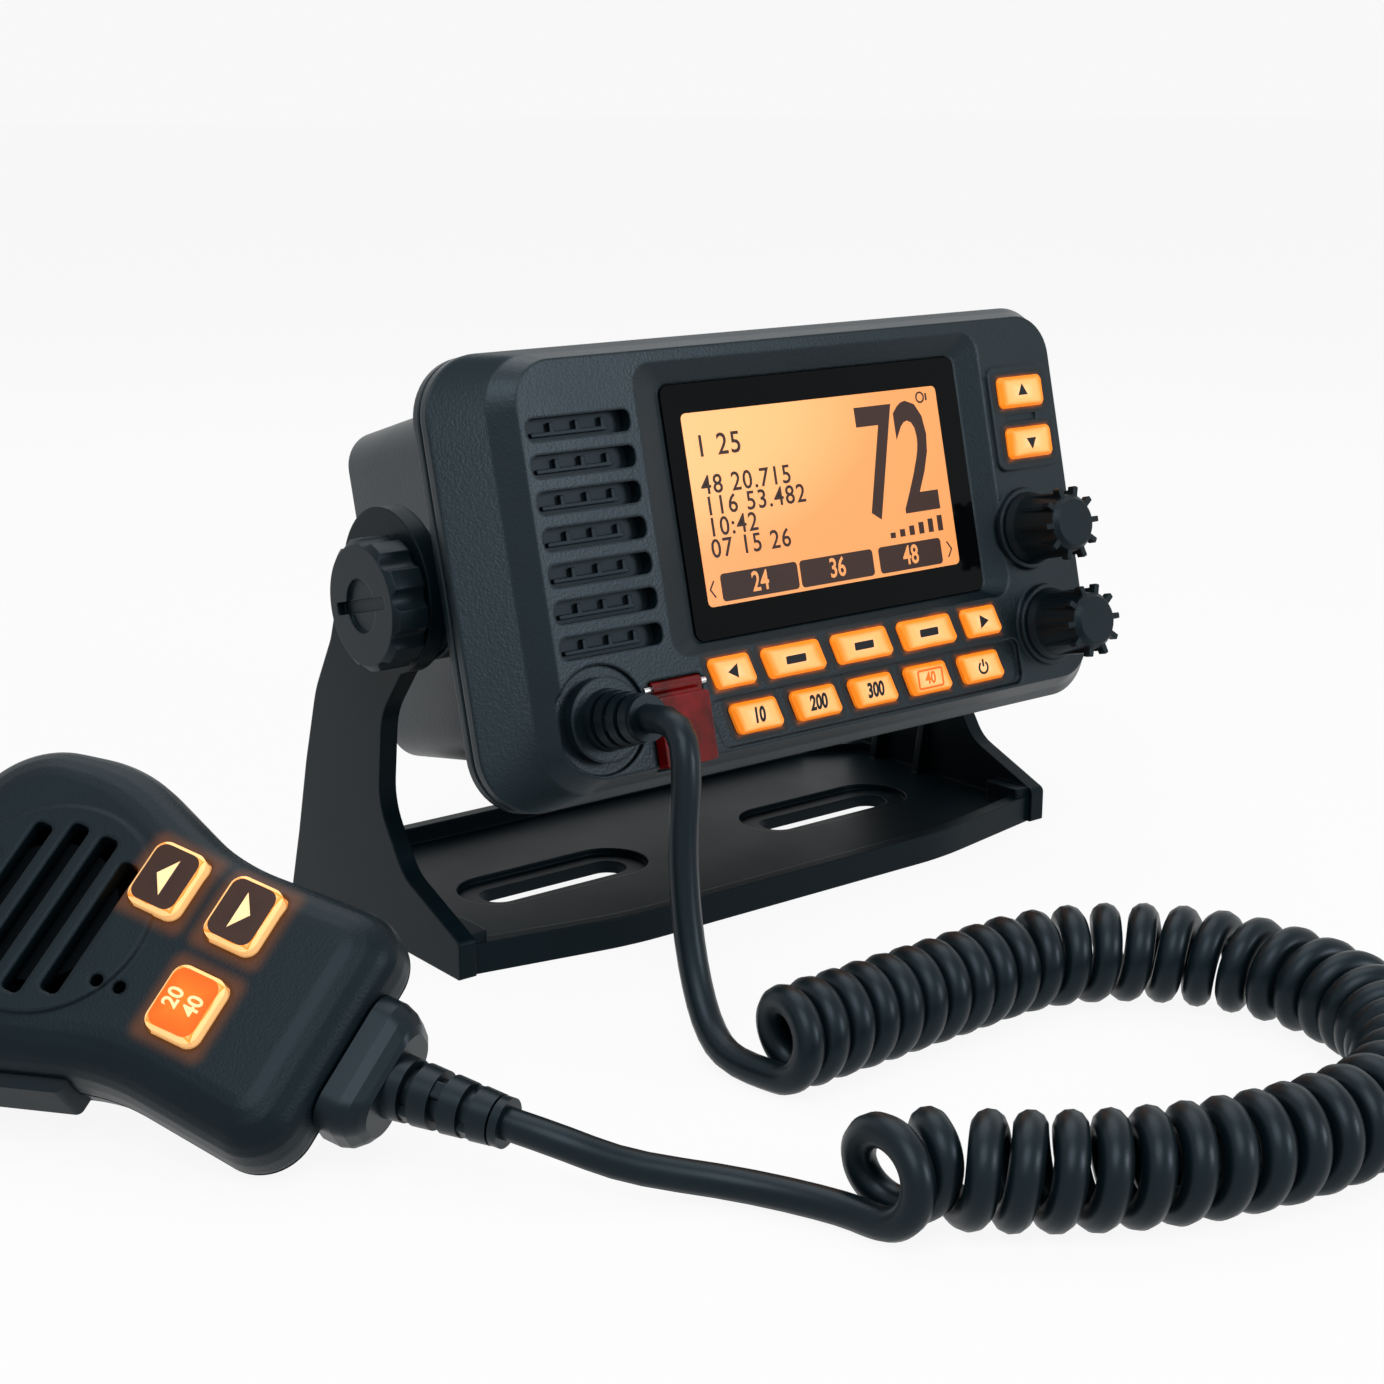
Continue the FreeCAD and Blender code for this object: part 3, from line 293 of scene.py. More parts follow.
plasticSettings = {
    "casePlastic": {"colour": (0.0016, 0.0054, 0.0073), "roughness": 0.36, "specular": 0.32, "grain": 1700.0,
                    "bump": 0.60, "edge": 0.0009},
    "bracketPlastic": {"colour": (0.0014, 0.0050, 0.0070), "roughness": 0.40, "specular": 0.10, "grain": 2200.0,
                       "bump": 0.15, "edge": 0.0006},
    "micPlastic": {"colour": (0.0022, 0.0062, 0.0086), "roughness": 0.40, "specular": 0.18, "grain": 2000.0,
                   "bump": 0.55, "edge": 0.0012},
    "knobPlastic": {"colour": (0.0018, 0.0054, 0.0074), "roughness": 0.42, "specular": 0.20, "grain": 2600.0,
                    "bump": 0.15, "edge": 0.0005},
    "cordRubber": {"colour": (0.0020, 0.0058, 0.0080), "roughness": 0.36, "grain": 1500.0, "bump": 0.12},
    "sealRubber": {"colour": (0.0022, 0.0045, 0.0058), "roughness": 0.60, "grain": 1800.0, "bump": 0.30,
                   "edge": 0.0003},
    "grillePlastic": {"colour": (0.0065, 0.0125, 0.0165), "roughness": 0.46, "grain": 2600.0, "bump": 0.20,
                      "edge": 0.0003},
    # Speakers seen through the slots: dark of their own, and made darker still as painted shade inside the slots
    "coneBlackAndSlotShade": {"colour": (0.0010, 0.0016, 0.0020), "roughness": 0.70, "specular": 0.06, "grain": 900.0,
                  "bump": 0.20},
    "trimGrey": {"colour": (0.060, 0.074, 0.084), "roughness": 0.45, "grain": 1800.0, "bump": 0.20, "edge": 0.0003},
    "boardGreen": {"colour": (0.010, 0.060, 0.025), "roughness": 0.35, "grain": 900.0, "bump": 0.10},
    "markBlack": {"colour": (0.0060, 0.0045, 0.0040), "roughness": 0.55, "grain": 1800.0, "bump": 0.08},
    "screenMark": {"colour": (0.040, 0.014, 0.006), "roughness": 0.45, "grain": 1800.0, "bump": 0.02},
    "redButton": {"colour": (0.45, 0.012, 0.012), "roughness": 0.35, "grain": 1800.0, "bump": 0.10},
}
plastics = {name: moulded(name, settings) for name, settings in plasticSettings.items()}

metalSettings = {"scratchScale": 420.0, "smoother": 0.08, "rougher": 0.12, "bump": 0.15, "bumpDepth": 0.00005}


def metal(name, colour, roughness):
    material, nodes, links, shader = newMaterial(name)
    s = metalSettings
    where = nodes.new("ShaderNodeTexCoord")
    scratches = addNode(nodes, "ShaderNodeTexNoise", Scale=s["scratchScale"], Detail=6.0)
    links.new(where.outputs["Object"], scratches.inputs["Vector"])
    varyGloss(nodes, links, scratches, shader, roughness - s["smoother"], roughness + s["rougher"])
    bump = addNode(nodes, "ShaderNodeBump", Strength=s["bump"], Distance=s["bumpDepth"])
    links.new(scratches.outputs["Fac"], bump.inputs["Height"])
    links.new(bump.outputs["Normal"], shader.inputs["Normal"])
    shader.inputs["Base Color"].default_value = (*colour, 1)
    shader.inputs["Metallic"].default_value = 1.0
    return material


steel = metal("stainlessSteel", (0.55, 0.55, 0.56), 0.32)
nickel = metal("nickelPlate", (0.68, 0.67, 0.64), 0.22)

litSettings = {"blotchScale": 160.0, "blotchShare": 0.22, "specular": 0.22}


def lit(name, place, centre, half, colours, strength, roughness=0.38, lean=0.0):
    # Backlit silicone: one colour in the middle of the key, another at its edges
    material, nodes, links, shader = newMaterial(name)
    where = nodes.new("ShaderNodeTexCoord")
    local = boxSpace(nodes, links, where, place, centre, (half[0], half[1], 1.0))
    parts = nodes.new("ShaderNodeSeparateXYZ")
    links.new(local.outputs["Vector"], parts.inputs["Vector"])
    # Straighten the leaning key before measuring from its middle
    upright = addNode(nodes, "ShaderNodeMath", operation="MULTIPLY_ADD")
    upright.inputs[1].default_value = lean / 2 / half[0]
    links.new(parts.outputs["Y"], upright.inputs[0])
    links.new(parts.outputs["X"], upright.inputs[2])
    sizes = []
    for source in (upright.outputs["Value"], parts.outputs["Y"]):
        size = addNode(nodes, "ShaderNodeMath", operation="ABSOLUTE")
        links.new(source, size.inputs[0])
        sizes.append(size)
    far = addNode(nodes, "ShaderNodeMath", operation="MAXIMUM")
    links.new(sizes[0].outputs["Value"], far.inputs[0])
    links.new(sizes[1].outputs["Value"], far.inputs[1])
    blotch = addNode(nodes, "ShaderNodeTexNoise", Scale=litSettings["blotchScale"], Detail=2.0)
    links.new(where.outputs["Object"], blotch.inputs["Vector"])
    uneven = addNode(nodes, "ShaderNodeMath", operation="MULTIPLY_ADD")
    uneven.inputs[1].default_value = litSettings["blotchShare"]
    links.new(blotch.outputs["Fac"], uneven.inputs[0])
    links.new(far.outputs["Value"], uneven.inputs[2])
    ramp = ramped(nodes, *colours)
    ramp.color_ramp.interpolation = "EASE"
    links.new(uneven.outputs["Value"], ramp.inputs["Fac"])
    links.new(ramp.outputs["Color"], shader.inputs["Base Color"])
    links.new(ramp.outputs["Color"], shader.inputs["Emission Color"])
    shader.inputs["Emission Strength"].default_value = strength
    shader.inputs["Roughness"].default_value = roughness
    shader.inputs["Specular IOR Level"].default_value = litSettings["specular"]
    return material


def addGlow(material, place, boxes, reach, colour, strength):
    # Light that spills from lit keys on to the plastic beside them; each box is a centre and half its size
    nodes, links = material.node_tree.nodes, material.node_tree.links
    shader = nodes["Principled BSDF"]
    where = nodes.new("ShaderNodeTexCoord")
    nearest = None
    for centre, half in boxes:
        step = boxSpace(nodes, links, where, place, centre)
        for operation, value in (("ABSOLUTE", None), ("SUBTRACT", (*half, 0)), ("MAXIMUM", (0, 0, 0)),
                                 ("MULTIPLY", (1, 1, 0)), ("LENGTH", None)):
            following = addNode(nodes, "ShaderNodeVectorMath", operation=operation)
            links.new(step.outputs["Vector"], following.inputs[0])
            if value is not None:
                following.inputs[1].default_value = value
            step = following
        away = step.outputs["Value"]
        if nearest is not None:
            least = addNode(nodes, "ShaderNodeMath", operation="MINIMUM")
            links.new(nearest, least.inputs[0])
            links.new(away, least.inputs[1])
            away = least.outputs["Value"]
        nearest = away
    fall = nodes.new("ShaderNodeMapRange")
    fall.interpolation_type = "SMOOTHERSTEP"
    fall.inputs["From Max"].default_value = reach
    fall.inputs["To Min"].default_value = strength
    fall.inputs["To Max"].default_value = 0.0
    links.new(nearest, fall.inputs["Value"])
    links.new(fall.outputs["Result"], shader.inputs["Emission Strength"])
    shader.inputs["Emission Color"].default_value = (*colour, 1)


guardSettings = {
    "cloudScale": 130.0, "dark": (0.35, (0.070, 0.0005, 0.0006)), "light": (0.70, (0.26, 0.002, 0.0025)),
    "edge": 0.0005, "roughness": 0.14, "coat": 0.12, "coatRoughness": 0.06, "specular": 0.2, "transmission": 0.08,
}


def clearRed():
    # Tinted clear plastic of the guard, cloudy where the mould left it thick
    material, nodes, links, shader = newMaterial("clearRed")
    s = guardSettings
    where = nodes.new("ShaderNodeTexCoord")
    cloud = addNode(nodes, "ShaderNodeTexNoise", Scale=s["cloudScale"], Detail=3.0)
    links.new(where.outputs["Object"], cloud.inputs["Vector"])
    tint = ramped(nodes, s["dark"], s["light"])
    links.new(cloud.outputs["Fac"], tint.inputs["Fac"])
    links.new(tint.outputs["Color"], shader.inputs["Base Color"])
    edge = addNode(nodes, "ShaderNodeBevel", samples=mouldedSettings["bevelSamples"], Radius=s["edge"])
    links.new(edge.outputs["Normal"], shader.inputs["Normal"])
    shader.inputs["Roughness"].default_value = s["roughness"]
    shader.inputs["Coat Weight"].default_value = s["coat"]
    shader.inputs["Coat Roughness"].default_value = s["coatRoughness"]
    shader.inputs["Specular IOR Level"].default_value = s["specular"]
    shader.inputs["Transmission Weight"].default_value = s["transmission"]
    return material


windowSettings = {"colour": (0.0010, 0.0016, 0.0020), "smearScale": 38.0, "gloss": (0.05, 0.12), "specular": 0.08}


def windowGlass():
    # Tinted window: black round the screen, with a faint smear in its gloss
    material, nodes, links, shader = newMaterial("windowGlass")
    s = windowSettings
    where = nodes.new("ShaderNodeTexCoord")
    smear = addNode(nodes, "ShaderNodeTexNoise", Scale=s["smearScale"], Detail=3.0)
    links.new(where.outputs["Object"], smear.inputs["Vector"])
    varyGloss(nodes, links, smear, shader, *s["gloss"])
    shader.inputs["Base Color"].default_value = (*s["colour"], 1)
    shader.inputs["Specular IOR Level"].default_value = s["specular"]
    return material


amberSettings = {
    "centre": (-0.0277, 0.0288, 0), "reach": (0.072, 0.040, 0.040),
    "stops": ((0.15, (0.95, 0.47, 0.170)), (0.75, (0.92, 0.43, 0.150)), (1.35, (0.80, 0.30, 0.085))),
    "rowScale": 70.0, "rowShare": 0.05, "glow": 0.42, "roughness": 0.30,
}


def screenAmber():
    # Backlit dot-matrix screen: amber, paler to the upper left, with faint rows of dots
    material, nodes, links, shader = newMaterial("screenAmber")
    s = amberSettings
    where = nodes.new("ShaderNodeTexCoord")
    local = boxSpace(nodes, links, where, onPanel, s["centre"], s["reach"])
    spread = addNode(nodes, "ShaderNodeVectorMath", operation="LENGTH")
    links.new(local.outputs["Vector"], spread.inputs[0])
    ramp = ramped(nodes, *s["stops"])
    links.new(spread.outputs["Value"], ramp.inputs["Fac"])
    rows = addNode(nodes, "ShaderNodeTexWave", Scale=s["rowScale"], Distortion=0.0)
    rows.bands_direction = "Y"
    links.new(local.outputs["Vector"], rows.inputs["Vector"])
    mix = addNode(nodes, "ShaderNodeMix", data_type="RGBA", blend_type="MULTIPLY")
    mix.inputs["Factor"].default_value = s["rowShare"]
    links.new(ramp.outputs["Color"], mix.inputs["A"])
    links.new(rows.outputs["Color"], mix.inputs["B"])
    links.new(mix.outputs["Result"], shader.inputs["Base Color"])
    links.new(mix.outputs["Result"], shader.inputs["Emission Color"])
    shader.inputs["Emission Strength"].default_value = s["glow"]
    shader.inputs["Roughness"].default_value = s["roughness"]
    return material


clearRedMaterial = clearRed()
glassMaterial = windowGlass()
screenMaterial = screenAmber()
print("materials made")


# Shapes that are laid flat on the panel or the microphone, in millimetres
def raiseUp(bm, thick):
    raised = bmesh.ops.extrude_face_region(bm, geom=bm.faces[:])
    top = [v for v in raised["geom"] if isinstance(v, bmesh.types.BMVert)]
    bmesh.ops.translate(bm, vec=(0, 0, thick), verts=top)
    bmesh.ops.recalc_face_normals(bm, faces=bm.faces)
    return bm


def sheet(width, height, radius, steps=5):
    # Flat rectangle with round corners
    bm = bmesh.new()
    bmesh.ops.create_grid(bm, x_segments=1, y_segments=1, size=0.5)
    bmesh.ops.scale(bm, vec=(width, height, 1), verts=bm.verts)
    if radius > 0:
        bmesh.ops.bevel(bm, geom=bm.verts[:], offset=radius, segments=steps, profile=0.5, affect="VERTICES",
                        material=-1)
    return bm


def plate(width, height, radius, thick, lean=0.0):
    # The same with a thickness, its top pushed to the left by the lean
    bm = raiseUp(sheet(width, height, radius), thick)
    shear = Matrix.Identity(4)
    shear[0][1] = -lean / height
    bmesh.ops.transform(bm, matrix=shear, verts=bm.verts)
    return bm


def outline(width, height, radius, line, thick):
    # Only the border of such a plate
    bm = sheet(width, height, radius)
    middle = bm.faces[:][0]
    bmesh.ops.inset_region(bm, faces=[middle], thickness=line, use_boundary=True)
    bmesh.ops.delete(bm, geom=[middle], context="FACES_ONLY")
    return raiseUp(bm, thick)


def triangle(width, height, thick):
    # Points to +x; the circle of three segments is 1.5 wide and root 3 tall
    bm = bmesh.new()
    bmesh.ops.create_circle(bm, cap_ends=True, segments=3, radius=1.0)
    bmesh.ops.rotate(bm, cent=(0, 0, 0), matrix=Matrix.Rotation(-math.pi / 2, 3, "Z"), verts=bm.verts)
    bmesh.ops.scale(bm, vec=(width / 1.5, height / math.sqrt(3), 1), verts=bm.verts)
    return raiseUp(bm, thick)


def ring(radius, line, thick, gap=0.0, steps=28):
    # Flat ring, open at the top by the gap angle
    bm = bmesh.new()
    first = bm.verts.new((radius - line / 2, 0, 0))
    second = bm.verts.new((radius + line / 2, 0, 0))
    edge = bm.edges.new((first, second))
    start = math.pi / 2 + gap / 2
    bmesh.ops.rotate(bm, cent=(0, 0, 0), matrix=Matrix.Rotation(start, 3, "Z"), verts=bm.verts)
    bmesh.ops.spin(bm, geom=[first, second, edge], cent=(0, 0, 0), axis=(0, 0, 1), angle=2 * math.pi - gap,
                   steps=steps, use_merge=gap == 0)
    return raiseUp(bm, thick)


numeralSettings = {"heightOfSize": 0.72, "smoothness": 3}


def numerals(text, height, squeeze, thick, bold=0.0, spacing=1.0):
    # Plain numbers, as tall as the height says
    data = bpy.data.curves.new("numerals", "FONT")
    data.body = text
    data.size = height / numeralSettings["heightOfSize"]
    data.align_x = "CENTER"
    data.align_y = "CENTER"
    data.offset = bold
    data.space_character = spacing
    data.extrude = thick / 2
    data.resolution_u = numeralSettings["smoothness"]
    holder = bpy.data.objects.new("numerals", data)
    scene.collection.objects.link(holder)
    bpy.context.view_layer.update()
    mesh = bpy.data.meshes.new_from_object(holder)
    bpy.data.objects.remove(holder)
    bm = bmesh.new()
    bm.from_mesh(mesh)
    bpy.data.meshes.remove(mesh)
    bmesh.ops.translate(bm, vec=(0, 0, thick / 2), verts=bm.verts)
    bmesh.ops.scale(bm, vec=(squeeze, 1, 1), verts=bm.verts)
    return bm


def gather(shapes):
    # One bmesh of several, each with its place in millimetres
    whole = bmesh.new()
    for bm, (x, y, z) in shapes:
        bmesh.ops.translate(bm, vec=(x, y, z), verts=bm.verts)
        mesh = bpy.data.meshes.new("part")
        bm.to_mesh(mesh)
        bm.free()
        whole.from_mesh(mesh)
        bpy.data.meshes.remove(mesh)
    return whole


def lay(name, bm, place, material, body):
    # Turns millimetres on the panel or the microphone into a piece that rides on a body
    bmesh.ops.scale(bm, vec=(mm, mm, mm), verts=bm.verts)
    bmesh.ops.transform(bm, matrix=place, verts=bm.verts)
    mesh = bpy.data.meshes.new(name)
    bm.to_mesh(mesh)
    bm.free()
    mesh.materials.append(material)
    piece = bpy.data.objects.new(name, mesh)
    scene.collection.objects.link(piece)
    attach(piece, body)


# CAD nodes that keep their shape, by finish
nodeFinishes = {
    "casePlastic": ["front_bezel", "rear_case", "jack_collar"],
    "bracketPlastic": ["gimbal_bracket"],
    "micPlastic": ["mic_front_shell", "mic_back_shell"],
    "knobPlastic": ["channel_knob", "volume_knob", "gimbal_knob_left", "gimbal_knob_right", "channel_encoder",
                    "volume_encoder"],
    "cordRubber": ["radio_strain_relief", "mic_strain_relief", "mic_cable_block"],
    "trimGrey": ["case_gasket"],
    "sealRubber": ["keypad_mat", "side_keypad_mat", "gimbal_washer_left", "gimbal_washer_right",
                   "mic_gasket", "mic_talk_bar", "power_gland"],
    "grillePlastic": ["speaker_baffle"],
    # painted shade: the speakers behind the slots are darkened so that the slots look shaded
    "coneBlackAndSlotShade": ["speaker", "mic_speaker"],
    "boardGreen": ["display_board", "main_board", "mic_board", "lcd_panel"],
}


def dress(node, material):
    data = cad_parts[node].data
    data.materials.clear()
    data.materials.append(material)


for finish, names in nodeFinishes.items():
    for nodeName in names:
        dress(nodeName, plastics[finish])
for nodeName in ("case_screws", "mic_screws", "guard_pin"):
    dress(nodeName, steel)
for nodeName in ("antenna_jack", "mic_stud"):
    dress(nodeName, nickel)
dress("guard_cover", clearRedMaterial)
dress("guarded_button", plastics["redButton"])
dress("display_lens", glassMaterial)
curlyCord.data.materials.clear()
curlyCord.data.materials.append(plastics["cordRubber"])
print("nodes dressed")

# Backlit keys of the radio, with their marks and the glow round them
keySettings = {
    "height": 6.6, "lean": 2.0, "firstUpper": -32.7, "firstLower": -28.0, "lowerStep": 16.3, "gap": 3.2,
    "endWidth": 10.9, "softWidth": 16.0, "lowerWidth": 12.3, "sideSize": (14.0, 7.0),
    "upperRow": -24.8, "upperTop": 29.7, "upperPanel": 28.5,
    "lowerRow": -34.9, "lowerTop": 28.9, "lowerPanel": 27.3,
    "upperSide": (67.2, 25.1), "lowerSide": (67.9, 13.5), "sideTop": 30.5, "sidePanel": 29.3,
    "markThick": 0.06, "brightness": 0.42,
    "glowMargin": 1.5, "glowCorner": 2.2, "glowThick": 0.03, "glowBrightness": 0.30, "glowRoughness": 0.45,
    "colours": [(0.15, (1.0, 0.56, 0.26)), (0.72, (1.0, 0.44, 0.14)), (1.12, (0.97, 0.24, 0.012))],
    "glow": [(0.66, (0.42, 0.09, 0.004)), (0.96, (0.016, 0.010, 0.008)), (1.10, (0.0030, 0.0062, 0.0085))],
}


def keyPlaces():
    # Name, middle, size, lean, top of the key, panel beside it, and its mark
    s = keySettings
    places = []
    left = s["firstUpper"]
    for name, width, mark in (("left", s["endWidth"], "back"), ("soft_1", s["softWidth"], "bar"),
                              ("soft_2", s["softWidth"], "bar"), ("soft_3", s["softWidth"], "bar"),
                              ("right", s["endWidth"], "forward")):
        places.append((name, left + width / 2 + s["lean"] / 2, s["upperRow"], width, s["height"], s["lean"],
                       s["upperTop"], s["upperPanel"], mark))
        left += width + s["gap"]
    for i, (name, mark) in enumerate((("output", "10"), ("menu", "200"), ("clear", "300"), ("calling", "boxed"),
                                      ("power", "power"))):
        places.append((name, s["firstLower"] + i * s["lowerStep"] + s["lowerWidth"] / 2 + s["lean"] / 2,
                       s["lowerRow"], s["lowerWidth"], s["height"], s["lean"], s["lowerTop"], s["lowerPanel"], mark))
    for name, place, mark in (("up", s["upperSide"], "above"), ("down", s["lowerSide"], "below")):
        places.append((name, *place, *s["sideSize"], 0.0, s["sideTop"], s["sidePanel"], mark))
    return places


def turned(bm, degrees):
    bmesh.ops.rotate(bm, cent=(0, 0, 0), matrix=Matrix.Rotation(math.radians(degrees), 3, "Z"), verts=bm.verts)
    return bm


# The marks on the keys, in millimetres, in the order that plate, triangle, ring, outline and numerals take
markSettings = {
    "bar": (5.4, 1.7, 0.3), "arrow": (2.6, 3.0),
    "arrowTurns": {"forward": 0, "above": 90, "back": 180, "below": -90},
    "powerRing": (1.3, 0.5), "powerGap": math.radians(70), "ringLow": -0.15,
    "powerBar": (0.5, 1.7, 0.1), "barHigh": 0.9,
    "box": (7.6, 4.4, 0.7, 0.45), "boxText": ("40", 2.6, 0.85), "boxBold": 0.10,
    "boxCentre": (0.0279, -0.0349, 0), "boxHalf": (0.006, 0.004), "boxBrightness": 0.35,
    "boxColours": [(0.0, (0.92, 0.16, 0.008)), (1.0, (0.85, 0.12, 0.006))],
    "textHeight": 3.2, "textSqueeze": 0.72, "textBold": 0.16,
}


def keyMark(kind, thick):
    s = markSettings
    if kind == "bar":
        return plate(*s["bar"], thick)
    if kind in s["arrowTurns"]:
        return turned(triangle(*s["arrow"], thick), s["arrowTurns"][kind])
    if kind == "power":
        return gather([(ring(*s["powerRing"], thick, s["powerGap"]), (0, s["ringLow"], 0)),
                       (plate(*s["powerBar"], thick), (0, s["barHigh"], 0))])
    if kind == "boxed":
        return gather([(outline(*s["box"], thick), (0, 0, 0)),
                       (numerals(*s["boxText"], thick, s["boxBold"]), (0, 0, 0))])
    return numerals(kind, s["textHeight"], s["textSqueeze"], thick, s["textBold"])


boxedMark = lit("boxedMark", onPanel, markSettings["boxCentre"], markSettings["boxHalf"],
                markSettings["boxColours"], markSettings["boxBrightness"])


def makeRadioKeys():
    s = keySettings
    margin = s["glowMargin"]
    for name, x, y, width, height, lean, top, panel, mark in keyPlaces():
        centre = (x * mm, y * mm, top * mm)
        dress("key_" + name, lit("keyGlow_" + name, onPanel, centre, (width / 2 * mm, height / 2 * mm), s["colours"],
                                 s["brightness"], lean=lean * mm))
        glowHalf = ((width / 2 + margin) * mm, (height / 2 + margin) * mm)
        glowMaterial = lit("keyHalo_" + name, onPanel, centre, glowHalf, s["glow"], s["glowBrightness"],
                           s["glowRoughness"], lean * mm)
        halo = plate(width + 2 * margin, height + 2 * margin, s["glowCorner"], s["glowThick"], lean)
        bmesh.ops.translate(halo, vec=(x, y, panel), verts=halo.verts)
        lay("halo_" + name, halo, onPanel, glowMaterial, "radio")
        shape = keyMark(mark, s["markThick"])
        bmesh.ops.translate(shape, vec=(x, y, top), verts=shape.verts)
        boxed = mark == "boxed"
        lay("mark_" + name, shape, onPanel, boxedMark if boxed else plastics["markBlack"], "key_" + name)


makeRadioKeys()
print("radio keys made")

# Screen: amber sheet behind the window's face, and its dark marks. Places are shares of its width and height
screenSettings = {
    "left": -27.7, "right": 44.2, "bottom": -11.3, "top": 28.8, "face": 26.2, "sheet": 0.06, "corner": 1.2,
    "markThick": 0.04,
    "channel": ("72", 24.5, 0.66), "channelBold": 0.55, "channelSpot": (0.80, 0.59),
    "rows": (("1 25", 0.82, 4.6), ("48 20.715", 0.62, 4.0), ("116 53.482", 0.51, 4.0), ("10:42", 0.40, 4.0),
             ("07 15 26", 0.29, 4.0)),
    "rowLeft": 0.04, "rowSqueeze": 0.98, "rowBold": 0.05, "rowSpacing": 1.12,
    "bars": 6, "barWidth": 1.5, "barHeights": (1.2, 0.45), "barCorner": 0.1, "barSpot": (0.74, 0.215),
    "barStep": (0.04, 0.0056),
    "signRing": (1.1, 0.4), "signBar": (0.5, 1.6, 0.1), "signSpots": ((0.93, 0.945), (0.955, 0.945)),
    "tabs": (("24", 0.20, 0.29), ("36", 0.50, 0.29), ("48", 0.80, 0.26)), "tabHeight": 5.8, "tabCorner": 0.9,
    "tabLevel": 0.09, "tabText": (4.2, 0.8, 0.03, 0.10),
    "chevrons": ((0.022, 180), (0.965, 0)), "stroke": (2.2, 0.35, 0.05), "strokeTurn": 55, "strokeOff": 0.85,
}


def screenSpot(across, up):
    # Share of the screen's width and height to millimetres on the panel
    s = screenSettings
    return s["left"] + (s["right"] - s["left"]) * across, s["bottom"] + (s["top"] - s["bottom"]) * up


def chevron(flip):
    # Two strokes that meet in a point
    s = screenSettings
    strokes = [(turned(plate(*s["stroke"], s["markThick"]), -side * s["strokeTurn"]), (0, side * s["strokeOff"], 0))
               for side in (1, -1)]
    return turned(gather(strokes), flip)


def makeScreen():
    s = screenSettings
    width, height, thick = s["right"] - s["left"], s["top"] - s["bottom"], s["markThick"]
    backing = plate(width, height, s["corner"], s["sheet"])
    bmesh.ops.translate(backing, vec=(*screenSpot(0.5, 0.5), s["face"]), verts=backing.verts)
    lay("screenSheet", backing, onPanel, screenMaterial, "radio")
    marks = []
    level = s["face"] + s["sheet"]

    def put(bm, across, up):
        marks.append((bm, (*screenSpot(across, up), level)))

    put(numerals(*s["channel"], thick, s["channelBold"]), *s["channelSpot"])
    for text, up, tall in s["rows"]:
        bm = numerals(text, tall, s["rowSqueeze"], thick, s["rowBold"], s["rowSpacing"])
        reach = max(v.co.x for v in bm.verts)
        put(bm, s["rowLeft"] + reach / width, up)
    shortest, growth = s["barHeights"]
    for i in range(s["bars"]):
        put(plate(s["barWidth"], shortest + growth * i, s["barCorner"], thick), s["barSpot"][0] + s["barStep"][0] * i,
            s["barSpot"][1] + s["barStep"][1] * i)
    put(ring(*s["signRing"], thick), *s["signSpots"][0])
    put(plate(*s["signBar"], thick), *s["signSpots"][1])
    for _, across, span in s["tabs"]:
        put(plate(width * span, s["tabHeight"], s["tabCorner"], thick), across, s["tabLevel"])
    for across, flip in s["chevrons"]:
        put(chevron(flip), across, s["tabLevel"])
    lay("screenMarks", gather(marks), onPanel, plastics["screenMark"], "radio")
    numbers = [(numerals(text, *s["tabText"]), (*screenSpot(across, s["tabLevel"]), level + thick))
               for text, across, _ in s["tabs"]]
    lay("screenTabNumbers", gather(numbers), onPanel, screenMaterial, "radio")


makeScreen()
print("screen made")

# Keys of the microphone
micKeySettings = {
    "length": 10.4, "width": 12.4, "top": 2.4, "rimLine": 0.75, "corner": 2.0,
    "faceThick": 0.08, "markThick": 0.05,
    "rimBrightness": 0.52, "faceBrightness": 0.40, "arrow": (2.6, 7.0),
    "numbers": (("20", 2.0), ("40", -2.0)), "numberHeight": 2.9, "numberSqueeze": 0.9, "numberBold": 0.10,
    "rim": [(0.80, (1.0, 0.64, 0.31)), (1.02, (1.0, 0.56, 0.22)), (1.12, (1.0, 0.27, 0.02))],
    "brown": [(0.0, (0.026, 0.007, 0.003)), (1.0, (0.034, 0.010, 0.004))],
    "orange": [(0.2, (0.99, 0.17, 0.008)), (1.0, (0.95, 0.11, 0.004))],
    "cream": [(0.0, (1.0, 0.70, 0.36)), (1.0, (1.0, 0.64, 0.30))],
    "glowReach": 3.6 * mm, "glow": (0.75, 0.20, 0.012), "glowStrength": 0.14,
    "keys": (("up", -15.6, 12.0, 180), ("down", 0.4, 12.0, 0), ("call", 0.4, -6.0, None)),
}


def micNumbers():
    s = micKeySettings
    return turned(gather([(numerals(text, s["numberHeight"], s["numberSqueeze"], s["markThick"], s["numberBold"]),
                           (0, y, 0)) for text, y in s["numbers"]]), 90)


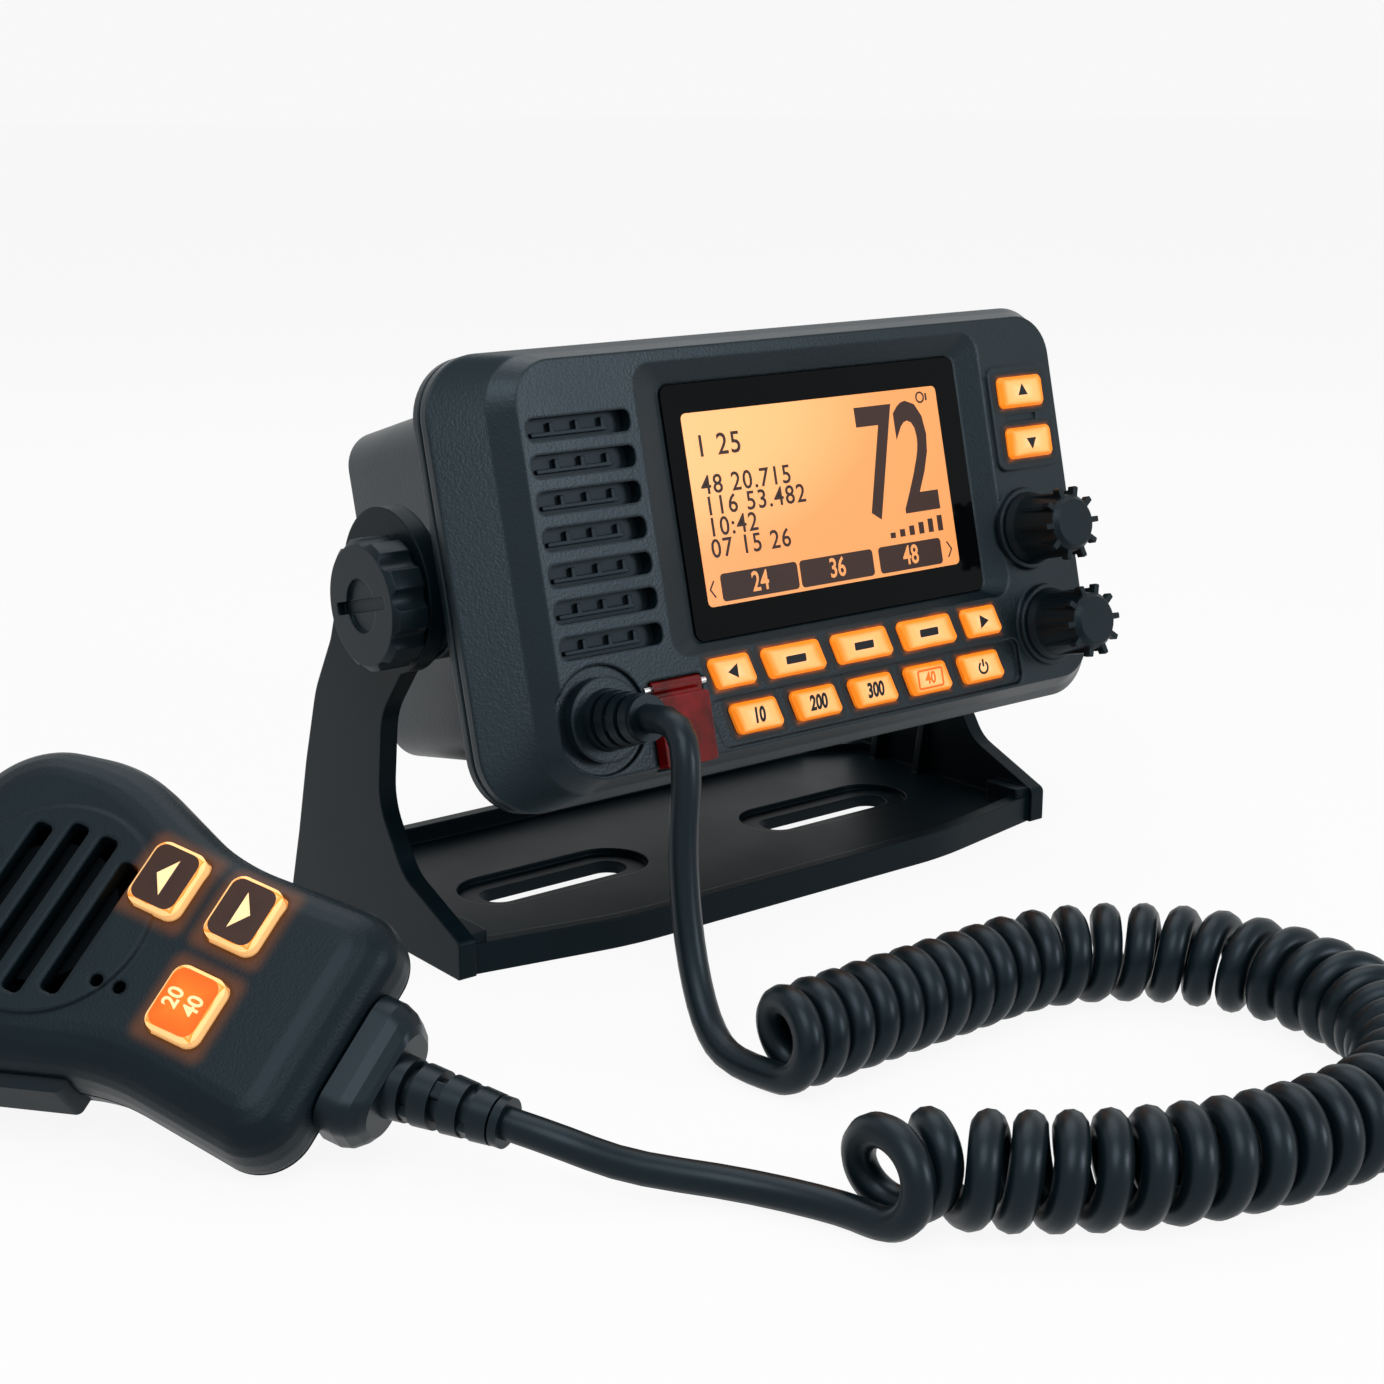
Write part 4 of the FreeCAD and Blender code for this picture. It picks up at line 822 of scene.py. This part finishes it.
def makeMicKeys():
    s = micKeySettings
    half = (s["length"] / 2 * mm, s["width"] / 2 * mm)
    shell = moulded("micFrontPlastic", plasticSettings["micPlastic"])
    boxes = [((x * mm, y * mm, 0), half) for _, x, y, _ in s["keys"]]
    addGlow(shell, onMic, boxes, s["glowReach"], s["glow"], s["glowStrength"])
    dress("mic_front_shell", shell)
    for name, x, y, facing in s["keys"]:
        centre = (x * mm, y * mm, s["top"] * mm)
        calling = facing is None
        body = "mic_key_" + name
        dress(body, lit("micKeyRim_" + name, onMic, centre, half, s["rim"], s["rimBrightness"]))
        face = plate(s["length"] - 2 * s["rimLine"], s["width"] - 2 * s["rimLine"], s["corner"], s["faceThick"])
        bmesh.ops.translate(face, vec=(x, y, s["top"]), verts=face.verts)
        faceMaterial = lit("micFace_" + name, onMic, centre, half, s["orange"] if calling else s["brown"],
                           s["faceBrightness"] if calling else 0.0)
        lay("micFace_" + name, face, onMic, faceMaterial, body)
        mark = micNumbers() if calling else turned(triangle(*s["arrow"], s["markThick"]), facing)
        bmesh.ops.translate(mark, vec=(x, y, s["top"] + s["faceThick"]), verts=mark.verts)
        lay("micMark_" + name, mark, onMic, lit("micMark_" + name, onMic, centre, half, s["cream"],
                                                s["faceBrightness"]), body)


makeMicKeys()
print("microphone keys made")

# Floor, backdrop and light
stageSettings = {"floorSize": 8.0, "pale": (0.80, 0.80, 0.80), "floorRoughness": 0.9, "floorWhite": 0.91,
                 "worldLight": 0.22, "worldWhite": 0.94}


def raysThatSee(nodes, links):
    # 1 for rays that show the background: to the camera, in a reflection or through glass
    rays = nodes.new("ShaderNodeLightPath")
    first = addNode(nodes, "ShaderNodeMath", operation="MAXIMUM")
    links.new(rays.outputs["Is Camera Ray"], first.inputs[0])
    links.new(rays.outputs["Is Transmission Ray"], first.inputs[1])
    second = addNode(nodes, "ShaderNodeMath", operation="MAXIMUM")
    links.new(first.outputs["Value"], second.inputs[0])
    links.new(rays.outputs["Is Glossy Ray"], second.inputs[1])
    return second.outputs["Value"]


def makeStage():
    bm = bmesh.new()
    bmesh.ops.create_grid(bm, x_segments=1, y_segments=1, size=stageSettings["floorSize"])
    mesh = bpy.data.meshes.new("floor")
    bm.to_mesh(mesh)
    bm.free()
    floor = bpy.data.objects.new("floor", mesh)
    scene.collection.objects.link(floor)
    material, nodes, links, shader = newMaterial("paleFloor")
    shader.inputs["Base Color"].default_value = (*stageSettings["pale"], 1)
    shader.inputs["Roughness"].default_value = stageSettings["floorRoughness"]
    white = addNode(nodes, "ShaderNodeEmission", Strength=1.0)
    share = addNode(nodes, "ShaderNodeMath", operation="MULTIPLY")
    share.inputs[1].default_value = stageSettings["floorWhite"]
    links.new(raysThatSee(nodes, links), share.inputs[0])
    mix = nodes.new("ShaderNodeMixShader")
    links.new(share.outputs["Value"], mix.inputs["Fac"])
    links.new(shader.outputs["BSDF"], mix.inputs[1])
    links.new(white.outputs["Emission"], mix.inputs[2])
    links.new(mix.outputs["Shader"], nodes["Material Output"].inputs["Surface"])
    mesh.materials.append(material)


def makeWorld():
    world = bpy.data.worlds.new("studio")
    scene.world = world
    world.use_nodes = True
    nodes, links = world.node_tree.nodes, world.node_tree.links
    background = nodes["Background"]
    level = nodes.new("ShaderNodeMapRange")
    level.inputs["To Min"].default_value = stageSettings["worldLight"]
    level.inputs["To Max"].default_value = stageSettings["worldWhite"]
    links.new(raysThatSee(nodes, links), level.inputs["Value"])
    links.new(level.outputs["Result"], background.inputs["Strength"])
    background.inputs["Color"].default_value = (1, 1, 1, 1)


# Name, place, what it points at, size and power
lampSettings = [
    ("keyLamp", (-0.55, -0.45, 0.85), (0.0, -0.05, 0.05), 0.7, 5.5),
    ("topLamp", (0.10, 0.25, 0.95), (0.0, 0.0, 0.05), 0.9, 4.0),
    ("frontLamp", (0.42, -1.00, 0.42), (-0.04, -0.05, 0.10), 0.35, 4.0),
]


def makeLamps():
    for name, place, target, size, power in lampSettings:
        data = bpy.data.lights.new(name, "AREA")
        data.shape = "DISK"
        data.size = size
        data.energy = power
        lamp = bpy.data.objects.new(name, data)
        lamp.location = place
        lamp.rotation_euler = (Vector(target) - Vector(place)).to_track_quat("-Z", "Y").to_euler()
        scene.collection.objects.link(lamp)


makeStage()
makeWorld()
makeLamps()
scene.view_settings.view_transform = "Standard"
print("stage and light set")
